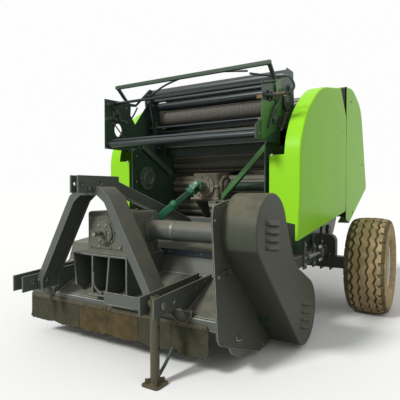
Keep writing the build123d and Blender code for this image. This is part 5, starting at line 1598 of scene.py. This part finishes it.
class BALER_OT_axle_fittings(Operator):
    """U-bolts, brackets, valve block and hydraulic pipes about the axle and rails"""

    bl_idname = "baler.axle_fittings"
    bl_label = "Axle fittings"

    def execute(self, context):
        bm = bmesh.new()
        # U-bolt round the axle, its threaded ends nutted on a clamp plate.
        u_bolt = (
            (1.288, 0.560), (1.288, 0.385), (1.300, 0.366), (1.420, 0.366), (1.432, 0.385), (1.432, 0.520),
        )
        nut = ((0, 0.0085), (0, 0.0155), (0.013, 0.0155), (0.013, 0.0085))
        union = ((0, 0), (0, 0.013), (0.012, 0.013), (0.014, 0.009), (0.026, 0.009), (0.026, 0))
        collar = ((-0.012, 0.0125), (-0.012, 0.021), (0.012, 0.021), (0.012, 0.0125))
        for sign in (1, -1):
            for x in (0.655, 0.745):
                bent_rod(bm, [at(sign * x, *place) for place in u_bolt], 0.0085, 1, 3, False)
                for station, z in ((1.288, 0.512), (1.432, 0.505)):
                    turned(bm, nut, at(sign * x, station, z), UP, 6, 2)
            out = sign * 0.700
            block(bm, at(out - 0.075, 1.270, 0.496), at(out + 0.075, 1.318, 0.506), 0.003)
            block(bm, at(out - 0.075, 1.402, 0.490), at(out + 0.075, 1.450, 0.500), 0.003)
            # Bracket plates on the rail's outer side, with their bolts.
            for station, top, foot in ((0.640, 0.700, 0.470), (0.900, 0.660, 0.450), (1.130, 0.680, 0.455)):
                shape = (
                    (station - 0.040, foot), (station + 0.040, foot), (station + 0.052, 0.560),
                    (station + 0.020, top), (station - 0.030, top),
                )
                side_prism(bm, shape, out, sign * 0.012)
                places = [(station, z) for z in (foot + 0.035, 0.560, top - 0.030)]
                side_bolts(bm, out + sign * 0.012, sign, places, 0.013, 2)
            # Valve block with its unions, and the pinned tie bar beside it.
            block(bm, at(out, 0.960, 0.520), at(out + sign * 0.055, 1.060, 0.600), 0.004)
            for station, z, way in (
                (0.985, 0.605, 1), (1.035, 0.605, 1), (0.985, 0.512, -1), (1.035, 0.512, -1),
            ):
                turned(bm, union, at(out + sign * 0.028, station, z), UP * way, 6, 2)
            rod(
                bm, at(out + sign * 0.035, 0.660, 0.575), at(out + sign * 0.035, 0.960, 0.565), 0.0125,
                material=2,
            )
            for station in (0.700, 0.820):
                turned(bm, collar, at(out + sign * 0.035, station, 0.5735), BACK, 6, 2)
            # Steel-clad pipes to the tail cylinder, run along the side plate.
            for shift in (0.0, 0.020):
                path = (
                    (0.028, 0.985 + shift * 2.5, 0.625), (0.034, 0.990 + shift * 2.5, 0.720),
                    (0.020, 1.080 + shift, 0.860), (0.014, 1.110 + shift, 0.980),
                    (0.012, 1.150 + shift, 1.060),
                )
                pipe = [at(out + sign * off, station, z) for off, station, z in path]
                bent_rod(bm, pipe, 0.0065, 3)
        finish_names = ("frame paint", "chain steel", "bright bolt", "belt rubber")
        finish_piece("axle.fittings", bm, "machine", finish_names, angle=35)
        return {"FINISHED"}


# ---- rubber curtain ------------------------------------------------------------------

CURTAIN = (-1.076, 0.550)
FLAPS = 6


class BALER_OT_curtain(Operator):
    """Rubber curtain under the front beam: worn, curled flaps behind a bolted strip"""

    bl_idname = "baler.curtain"
    bl_label = "Rubber curtain"

    def execute(self, context):
        pitch = (CURTAIN[1] - CURTAIN[0]) / FLAPS
        bm = bmesh.new()
        for flap in range(FLAPS):
            x0 = CURTAIN[0] + flap * pitch + 0.0015
            part = bmesh.new()
            bmesh.ops.create_grid(part, x_segments=26, y_segments=22, size=0.5)
            for vert in part.verts:
                u, v = vert.co.x + 0.5, 0.5 - vert.co.y
                x = x0 + u * (pitch - 0.003)
                z = 0.309 - v * 0.186
                # Waves grow towards the free edge, and the lower corners curl forward.
                wave = noise.noise(Vector((x * 7.0, flap * 3.1, v * 1.6)))
                curl = max(0.0, v - 0.45) ** 2
                out = curl * (0.030 * wave + 0.028 * abs(2 * u - 1) ** 3)
                worn = 0.012 * noise.noise(Vector((x * 30.0, 4.0, flap))) * max(0.0, v - 0.8) * 5
                vert.co = at(x, -0.6742 - out, z + worn + curl * 0.05 * abs(2 * u - 1) ** 3)
            thicken(part, 0.006)
            bmesh.ops.recalc_face_normals(part, faces=part.faces)
            absorb(bm, part, 3 if flap in (2, 3) else 0)
        # Clamping strip with its bolts, in two lengths.
        for x0, x1 in ((CURTAIN[0] + 0.01, -0.27), (-0.262, CURTAIN[1] - 0.01)):
            block(bm, at(x0, -0.6795, 0.294), at(x1, -0.6750, 0.322), 0.0012, 1)
            count = max(2, int((x1 - x0) / 0.135))
            for index in range(count):
                x = x0 + 0.03 + (x1 - x0 - 0.06) * index / (count - 1)
                bolt(bm, at(x, -0.6795, 0.308), FORWARD, 0.0075, 2)
        dress(
            "curtain.front", bm, ("flap rubber", "dirty strip", "dirty strip", "soiled rubber"),
            "rubber_curtain", 40, False,
        )
        return {"FINISHED"}


# ---- flail rotor ---------------------------------------------------------------------

ROTOR = at(0, -0.100, 0.320)
ROTOR_SPAN = (-1.054, 0.623)
BLADES = 32


def flail_lugs():
    """Pair of plate lugs with rounded noses, standing along Y from the rotor's axis."""
    part = bmesh.new()
    for side in (-1, 1):
        middle = side * 0.011
        verts = block(part, (middle - 0.004, 0.076, -0.027), (middle + 0.004, 0.140, 0.027))
        nose = {
            edge
            for vert in verts
            for edge in vert.link_edges
            if all(point.co.y > 0.13 for point in edge.verts)
            and abs(edge.verts[0].co.x - edge.verts[1].co.x) > 1e-4
        }
        soften(part, list(nose), 0.018, 3, clamp=False)
    return part


def flail_blades():
    """Pair of blades, each straight past the bolt and then bent outwards to its edge."""
    part = bmesh.new()
    for side in (-1, 1):
        for vert in bmesh.ops.create_grid(part, x_segments=1, y_segments=8, size=0.5)["verts"]:
            across, along = vert.co.x, vert.co.y + 0.5
            bend = max(0.0, along - 0.42)
            vert.co = (side * (0.003 + 0.042 * bend * (1 + bend)), 0.112 + along * 0.1415, across * 0.042)
    bmesh.ops.solidify(part, geom=part.faces[:], thickness=0.0035)
    bmesh.ops.recalc_face_normals(part, faces=part.faces)
    return part


def drive_pulley(bm):
    """Rotor's grooved pulley, inside the belt guard."""
    pulley = [(0, 0.03), (0, 0.105)]
    for groove in range(4):
        base = 0.006 + groove * 0.016
        pulley += [(base, 0.112), (base + 0.003, 0.112), (base + 0.008, 0.099), (base + 0.013, 0.112)]
    pulley += [
        (0.072, 0.112), (0.072, 0.090), (0.060, 0.080), (0.060, 0.045), (0.090, 0.042), (0.090, 0.03),
    ]
    turned(bm, pulley, ROTOR + ACROSS * 0.668, ACROSS, 48)


class BALER_OT_rotor(Operator):
    """Flail rotor: tube with welded lugs, paired Y blades on bolts, end discs and pulley"""

    bl_idname = "baler.rotor"
    bl_label = "Flail rotor"

    def execute(self, context):
        bm = bmesh.new()
        start = ROTOR + ACROSS * ROTOR_SPAN[0]
        span = ROTOR_SPAN[1] - ROTOR_SPAN[0]
        tube = (
            (0, 0), (0, 0.112), (0.008, 0.112), (0.010, 0.080), (span - 0.010, 0.080),
            (span - 0.008, 0.112), (span, 0.112), (span, 0),
        )
        turned(bm, tube, start, ACROSS, 48)
        right, left = (corner.x - start.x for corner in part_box("flail_rotor"))
        shaft = (
            (right, 0), (right + 0.002, 0.028), (right + 0.006, 0.030), (left - 0.006, 0.030),
            (left - 0.002, 0.028), (left, 0.026), (left, 0),
        )
        turned(bm, shaft, start, ACROSS, 32, 2)
        drive_pulley(bm)
        pitch = span / BLADES
        for index in range(BLADES):
            turn = Matrix.Rotation(math.radians(90 * (index % 4)), 4, "X")
            place = Matrix.Translation(start + ACROSS * (index + 0.5) * pitch) @ turn
            for material, part in enumerate((flail_lugs(), flail_blades())):
                bmesh.ops.transform(part, matrix=place, verts=part.verts)
                absorb(bm, part, material)
            pin = place @ Vector((0, 0.128, 0))
            rod(bm, pin - ACROSS * 0.020, pin + ACROSS * 0.020, 0.009, 12, material=2)
            for way in (1, -1):
                bolt(bm, pin + ACROSS * way * 0.015, ACROSS * way, 0.011, 2, False)
        dress("rotor.flails", bm, ("chamber paint", "blade steel", "bolt steel"), "flail_rotor")
        return {"FINISHED"}


# ---- parking leg ---------------------------------------------------------------------


class BALER_OT_parking_leg(Operator):
    """Parking leg: holed tube, collar, pin with its ring, stay rod and ribbed foot"""

    bl_idname = "baler.parking_leg"
    bl_label = "Parking leg"

    def execute(self, context):
        base = at(LINK_LEFT, -0.880, 0)
        bm = bmesh.new()
        foot = block(bm, base + Vector((-0.060, -0.060, 0)), base + Vector((0.060, 0.060, 0.012)), 0.0)
        soften(bm, upright_edges(foot, 0.005), 0.018, 3, clamp=False)
        tube = (
            (0.012, 0), (0.012, 0.0275), (0.516, 0.0275), (0.520, 0.0255), (0.520, 0.0225), (0.505, 0.0225),
            (0.505, 0),
        )
        turned(bm, tube, base, UP, 40)
        for turn in range(4):
            spoke = Matrix.Rotation(math.radians(45 + 90 * turn), 3, "Z") @ BACK
            rib = Matrix.Rotation(math.radians(45 + 90 * turn), 4, "Z")
            middle = base + spoke * 0.040 + UP * 0.027
            half = Vector((0.003, 0.018, 0.016))
            block(bm, middle - half, middle + half, 0.002, 0, rib)
        # Height holes through the tube, as discs of painted shade let into raised rims.
        for z in (0.22, 0.34):
            for side in (-1, 1):
                spot = base + UP * z + ACROSS * side * 0.0255
                rod(bm, spot, spot + ACROSS * side * 0.0022, 0.010, 20, material=2)
        collar = base + UP * 0.469
        turned(bm, ((-0.042, 0.0), (-0.042, 0.026), (0.042, 0.026), (0.042, 0.0)), collar, ACROSS, 36)
        pin = (
            (-0.070, 0), (-0.070, 0.011), (-0.067, 0.0141), (0.061, 0.0141), (0.061, 0.021), (0.068, 0.021),
            (0.070, 0.018), (0.070, 0),
        )
        turned(bm, pin, collar, ACROSS, 28, 1)
        turns = [index * math.tau / 12 for index in range(13)]
        ring = [
            collar + Vector((-0.065, 0.022 * math.cos(turn), 0.022 * math.sin(turn) - 0.012))
            for turn in turns
        ]
        bent_rod(bm, ring, 0.0018, 1, 2)
        start, finish = base + BACK * 0.020 + UP * 0.030, at(LINK_LEFT, -0.702, 0.160)
        bend = start.lerp(finish, 0.5) - UP * 0.010
        bent_rod(bm, (start, start.lerp(bend, 0.5), bend, finish.lerp(bend, 0.3), finish), 0.0105, 4, 3)
        seam = ((-0.027, -0.010, 0.014), (0.0, -0.029, 0.014), (0.027, -0.010, 0.014))
        weld(bm, [base + Vector(place) for place in seam], 0.004, 3)
        dress(
            "leg.parking", bm, ("leg enamel", "bolt steel", "painted shade", "weld metal", "chamber paint"),
            "parking_leg",
        )
        return {"FINISHED"}


# ---- hitch, hood and header details --------------------------------------------------

LEDGE_FRONT = -0.720
HOOD_LIP = (-0.655, 0.362)
HOOD_KNEE = (-0.300, 0.530)
HEADER_RIGHT = -1.076  # outer face of the right end plate


def hood_z(station):
    """Height of the hood's long front slope."""
    share = (station - HOOD_LIP[0]) / (HOOD_KNEE[0] - HOOD_LIP[0])
    return HOOD_LIP[1] + (HOOD_KNEE[1] - HOOD_LIP[1]) * share


def hitch_welds(bead):
    """Welds: ledge, lip, gusset feet, link plates and end plates on the hood."""
    bm = bmesh.new()
    ledge = LEDGE_FRONT - 0.0095
    for x0, x1, station, z in (
        (-0.236, -0.02, ledge, 0.4400), (0.040, 0.235, ledge, 0.4400), (-0.220, 0.020, ledge, 0.3610),
        (-0.396, 0.250, -0.571, 0.4115),
    ):
        weld(bm, (at(x0, station, z), at(x1, station, z)), bead)
    for x in (-0.577, -0.390, -0.232, -0.076):
        for side in (-0.0065, 0.0065):
            weld(bm, [at(x + side, station, hood_z(station)) for station in (-0.550, -0.310)], bead * 0.8)
    for link_x in (LINK_LEFT, LINK_RIGHT):
        for near in (0.057, -0.057):
            weld(bm, [at(link_x + near, station, hood_z(station)) for station in (-0.640, -0.325)], bead)
    for x in (0.634, -1.065):
        weld(bm, (at(x, -0.655, 0.3635), at(x, -0.300, 0.5315), at(x, -0.250, 0.6815)), bead * 0.8)
    finish_piece("welds.hitch", bm, "machine", ("weld metal",), (), 60, False)


def skid_shield(bm, x):
    """Half-moon shield that hangs from the lip, stiffened by a bar along its arc."""
    part = bmesh.new()
    upright = Matrix.Rotation(math.pi / 2, 4, "X")
    bmesh.ops.create_circle(part, cap_ends=True, segments=40, radius=0.078, matrix=upright)
    cut_through(part, (0, 0, 0), UP, clear_outer=True)
    bmesh.ops.translate(part, verts=part.verts, vec=at(x, -0.6705, 0.392))
    thicken(part, 0.006)
    bmesh.ops.recalc_face_normals(part, faces=part.faces)
    absorb(bm, part, 3)
    turns = [math.pi * step / 10 for step in range(11)]
    arc = [at(x + 0.078 * math.cos(turn), -0.676, 0.392 - 0.078 * math.sin(turn)) for turn in turns]
    bent_rod(bm, arc, 0.0042)
    block(bm, at(x - 0.080, -0.680, 0.388), at(x + 0.080, -0.655, 0.397), 0.002)


class BALER_OT_hitch_details(Operator):
    """Weld beads, bosses, bolts, skid shields, stay bar and bearing housings about the header and hitch"""

    bl_idname = "baler.hitch_details"
    bl_label = "Hitch details"

    def execute(self, context):
        hitch_welds(context.scene.baler_sizes.weld_radius)
        bm = bmesh.new()
        # Bosses of the lower and top links' pins, and the link plates' bolts.
        lower_boss = ((0, 0.0146), (0, 0.026), (0.007, 0.026), (0.009, 0.024), (0.009, 0.0146))
        for link_x, way in ((LINK_LEFT, 1), (LINK_RIGHT, -1)):
            for side in (1, -1):
                turned(bm, lower_boss, at(link_x + side * 0.056, -0.880, 0.469), ACROSS * side, 32)
            side_bolts(
                bm, link_x + way * 0.056, way, ((-0.420, 0.525), (-0.520, 0.500), (-0.640, 0.480)), 0.010,
            )
        bolt(bm, at(-0.7675, -0.840, 0.482), FORWARD, 0.011, 1)
        top_boss = ((0, 0.0131), (0, 0.021), (0.005, 0.021), (0.005, 0.0131))
        for station, z in ((-0.926, 1.168), (-0.862, 1.140)):
            for side in (-1, 1):
                turned(bm, top_boss, at(HITCH_X + side * 0.038, station, z), ACROSS * side, 28)
        for x in (0.356, -0.880):
            skid_shield(bm, x)
        # Bar on the hood's step, with its bolts.
        block(bm, at(-0.100, -0.276, 0.655), at(0.600, -0.262, 0.697), 0.003, 4)
        for x in (-0.02, 0.26, 0.54):
            bolt(bm, at(x, -0.276, 0.676), FORWARD, 0.009, 1)
        # Bent stay bar by the drive shaft.
        stay = (
            (-0.350, -0.712, 0.560), (-0.352, -0.716, 0.500), (-0.330, -0.716, 0.440),
            (-0.262, -0.724, 0.425),
        )
        bent_rod(bm, [at(*place) for place in stay], 0.006)
        # Bearing housings of the rotor on both ends of the header.
        for x, reach in ((HEADER_RIGHT, 0.030), (0.634, 0.018)):
            housing = (
                (0, 0.031), (0, 0.070), (0.010, 0.070), (0.014, 0.056), (reach, 0.050), (reach, 0.031),
            )
            turned(bm, housing, Vector((x, ROTOR.y, ROTOR.z)), -ACROSS, 36, 2)
            ring_of_bolts(bm, Vector((x - 0.011, ROTOR.y, ROTOR.z)), -ACROSS, 0.061, 4, 0.009, 0.6)
        # Row of bolts along the right end plate.
        row = (
            (-0.600, 0.330), (-0.480, 0.380), (-0.300, 0.470), (-0.150, 0.600), (0.060, 0.650),
            (0.150, 0.420),
        )
        side_bolts(bm, HEADER_RIGHT, -1, row, 0.010)
        finish_names = ("frame paint", "bolt steel", "painted casting", "guard enamel", "blue bar")
        finish_piece("details.hitch", bm, "machine", finish_names)
        return {"FINISHED"}


# ---- bearings, cylinders, hinges -----------------------------------------------------

CYLINDER_X = 0.710
CYLINDER_FOOT = (1.200, 1.100)
CYLINDER_EYE = (1.500, 1.840)


class BALER_OT_cylinders(Operator):
    """Tail cylinders: barrels with glands and ports, chromed rods and their eyes"""

    bl_idname = "baler.cylinders"
    bl_label = "Tail cylinders"

    def execute(self, context):
        barrels, rods = bmesh.new(), bmesh.new()
        for sign in (1, -1):
            foot, eye = at(sign * CYLINDER_X, *CYLINDER_FOOT), at(sign * CYLINDER_X, *CYLINDER_EYE)
            run = (eye - foot).normalized()
            profile = (
                (0.030, 0), (0.030, 0.030), (0.048, 0.030), (0.050, 0.0285), (0.500, 0.0285),
                (0.502, 0.030), (0.546, 0.030), (0.550, 0.027), (0.550, 0.0173), (0.500, 0.0173),
                (0.500, 0),
            )
            turned(barrels, profile, foot, run, 40)
            eye_ring = (
                (-0.018, 0.0153), (-0.018, 0.028), (-0.016, 0.030), (0.016, 0.030), (0.018, 0.028),
                (0.018, 0.0153),
            )
            turned(barrels, eye_ring, foot, ACROSS, 36)
            lift = ACROSS.cross(run).normalized()
            for share in (0.075, 0.515):
                port = foot + run * share + lift * 0.027
                rod(barrels, port, port + lift * 0.014, 0.010, 6, material=1)
            rod_profile = (
                (0.080, 0), (0.080, 0.0166), (0.735, 0.0166), (0.750, 0.019), (0.775, 0.020), (0.775, 0),
            )
            turned(rods, rod_profile, foot, run, 32)
            ring = (
                (-0.018, 0), (-0.018, 0.026), (-0.016, 0.028), (0.016, 0.028), (0.018, 0.026), (0.018, 0),
            )
            turned(rods, ring, eye, ACROSS, 36, 1)
            pin = ((-0.024, 0), (-0.024, 0.014), (0.024, 0.014), (0.026, 0.012), (0.026, 0))
            turned(rods, pin, eye, ACROSS * sign, 28, 2)
        dress("cylinder.barrels", barrels, ("chamber paint", "bolt steel"), "barrels")
        dress("cylinder.rods", rods, ("chromed rod", "chamber paint", "bolt steel"), "rods")
        return {"FINISHED"}


class BALER_OT_bearings(Operator):
    """Inner rings and bolts of the flanged bearings on the chamber's side plates"""

    bl_idname = "baler.bearings"
    bl_label = "Bearings"

    def execute(self, context):
        cap = (
            (0.017, 0.0256), (0.0195, 0.0256), (0.0215, 0.030), (0.0215, 0.036), (0.018, 0.040),
            (0.017, 0.040),
        )
        for name, way, angles, body in ROLL_ARCS:
            bm = bmesh.new()
            for angle in angles:
                for sign in (1, -1):
                    out = ACROSS * sign
                    centre = roll_centre(angle, way) + out * PLATE_OUT
                    turned(bm, cap, centre, out, 32)
                    ring_of_bolts(bm, centre + out * 0.0178, out, 0.0425, 4, 0.0045, 0.8)
            finish_piece(f"bearings.{name}", bm, body, ("painted casting", "bolt steel"))
        return {"FINISHED"}


class BALER_OT_hinges(Operator):
    """Hinge pins and brackets of the side covers"""

    bl_idname = "baler.hinges"
    bl_label = "Cover hinges"

    def execute(self, context):
        bm = bmesh.new()
        pin = (
            (-0.019, 0), (-0.019, 0.0075), (0.019, 0.0075), (0.0195, 0.0038), (0.058, 0.0038),
            (0.060, 0.002), (0.060, 0),
        )
        for sign in (1, -1):
            plate = sign * PLATE_OUT
            for z in HINGE_HEIGHTS:
                turned(bm, pin, at(sign * HINGE_X, HINGE_STATION, z), UP, 20, 1)
                block(bm, at(plate, 1.332, z - 0.019), at(sign * 0.854, 1.344, z + 0.019), 0.0025)
                seam = plate + sign * 0.002
                weld(bm, (at(seam, 1.331, z - 0.018), at(seam, 1.331, z + 0.018)), 0.003, 2)
        dress("hinges.covers", bm, ("frame paint", "bolt steel", "weld metal"), "cover_brackets")
        return {"FINISHED"}


# ---- stage ---------------------------------------------------------------------------


class BALER_OT_stage(Operator):
    """Pale floor, soft studio lights and the camera"""

    bl_idname = "baler.stage"
    bl_label = "Stage"

    def execute(self, context):
        scene = context.scene
        scene.view_settings.view_transform = "Standard"
        bm = bmesh.new()
        bmesh.ops.create_grid(bm, x_segments=1, y_segments=1, size=400)
        mesh = bpy.data.meshes.new("floor")
        bm.to_mesh(mesh)
        bm.free()
        floor = linked_object("floor", mesh)
        material, add, _ = start_finish("pale floor")
        # The floor looks pale, and throws no more light up at the machine than a concrete yard.
        rays = add("LightPath")
        clear = add("Math", {0: (rays, "Is Camera Ray"), 1: (rays, "Is Glossy Ray")}, operation="MAXIMUM")
        through = add("Math", {0: (clear, 0), 1: (rays, "Is Transmission Ray")}, operation="MAXIMUM")
        tones = {"Factor": (through, 0), 6: linear("#8E8E8A"), 7: linear("#F1F1EF")}
        tone = add("Mix", tones, data_type="RGBA")
        close_finish(material, add, {"Base Color": (tone, 2), "Roughness": 0.9, "Specular IOR Level": 0.0})
        mesh.materials.append(material)

        world = bpy.data.worlds.new("studio")
        world.use_nodes = True
        world.node_tree.nodes.clear()
        add = partial(add_node, world.node_tree)
        seen = add("LightPath")
        # Cameras and glossy paint see the backdrop as bright as the floor; it lights the machine less.
        sheen = add("MapRange", {"Value": (seen, "Is Glossy Ray"), "To Min": 0.55, "To Max": 0.985})
        strength = add("Mix", {0: (seen, "Is Camera Ray"), 2: (sheen, 0), 3: 0.985})
        sky = add("Background", {"Color": linear("#FFFFFF"), "Strength": (strength, 0)})
        add("OutputWorld", {"Surface": (sky, 0)})
        scene.world = world

        for name, source, power, spread in (
            ("key light", (-0.30, -0.85, 0.70), 2.8, 12), ("side light", (0.90, -0.30, 0.60), 0.30, 40),
        ):
            lamp = bpy.data.lights.new(name, "SUN")
            lamp.energy = power
            lamp.angle = math.radians(spread)
            holder = linked_object(name, lamp)
            holder.location = Vector(source) * 6
            holder.rotation_euler = Vector(source).to_track_quat("Z", "Y").to_euler()
        lens = bpy.data.cameras.new("photo view")
        lens.lens = 37.8
        lens.sensor_width = 36
        camera = linked_object("photo view", lens)
        camera.location = (1.797, -3.500, 1.130)
        camera.rotation_euler = (math.radians(88.6), 0, math.radians(31.7))
        scene.camera = camera
        return {"FINISHED"}


# ---- sidebar and registration --------------------------------------------------------

OPERATORS = (
    BALER_OT_plates, BALER_OT_covers, BALER_OT_tyres, BALER_OT_rims, BALER_OT_guard,
    BALER_OT_header_gearbox, BALER_OT_main_gearbox, BALER_OT_drive_shaft, BALER_OT_rolls, BALER_OT_chains,
    BALER_OT_bearings, BALER_OT_net_unit, BALER_OT_net_fittings, BALER_OT_bay_fittings,
    BALER_OT_axle_fittings, BALER_OT_curtain, BALER_OT_rotor, BALER_OT_parking_leg, BALER_OT_hitch_details,
    BALER_OT_cylinders, BALER_OT_hinges, BALER_OT_stage,
)


class BALER_PT_pieces(Panel):
    """Sizes, colours and pieces of the round baler"""

    bl_idname = "BALER_PT_pieces"
    bl_label = "Round baler"
    bl_space_type = "VIEW_3D"
    bl_region_type = "UI"
    bl_category = "Baler"

    def draw(self, context):
        scene = context.scene
        for group in (scene.baler_sizes, scene.baler_colours):
            box = self.layout.box()
            for name in group.bl_rna.properties.keys():
                if name not in ("rna_type", "name"):
                    box.prop(group, name)
        for operator in OPERATORS:
            self.layout.operator(operator.bl_idname)


CLASSES = (BalerSizes, BalerColours, *OPERATORS, BALER_PT_pieces)


def register():
    for cls in CLASSES:
        bpy.utils.register_class(cls)
    bpy.types.Scene.baler_sizes = PointerProperty(type=BalerSizes)
    bpy.types.Scene.baler_colours = PointerProperty(type=BalerColours)


def unregister():
    del bpy.types.Scene.baler_colours
    del bpy.types.Scene.baler_sizes
    for cls in reversed(CLASSES):
        bpy.utils.unregister_class(cls)


def main():
    register()
    make_finishes(bpy.context.scene.baler_colours)
    for operator in OPERATORS:
        group, name = operator.bl_idname.split(".")
        getattr(getattr(bpy.ops, group), name)()


if __name__ == "__main__":
    main()
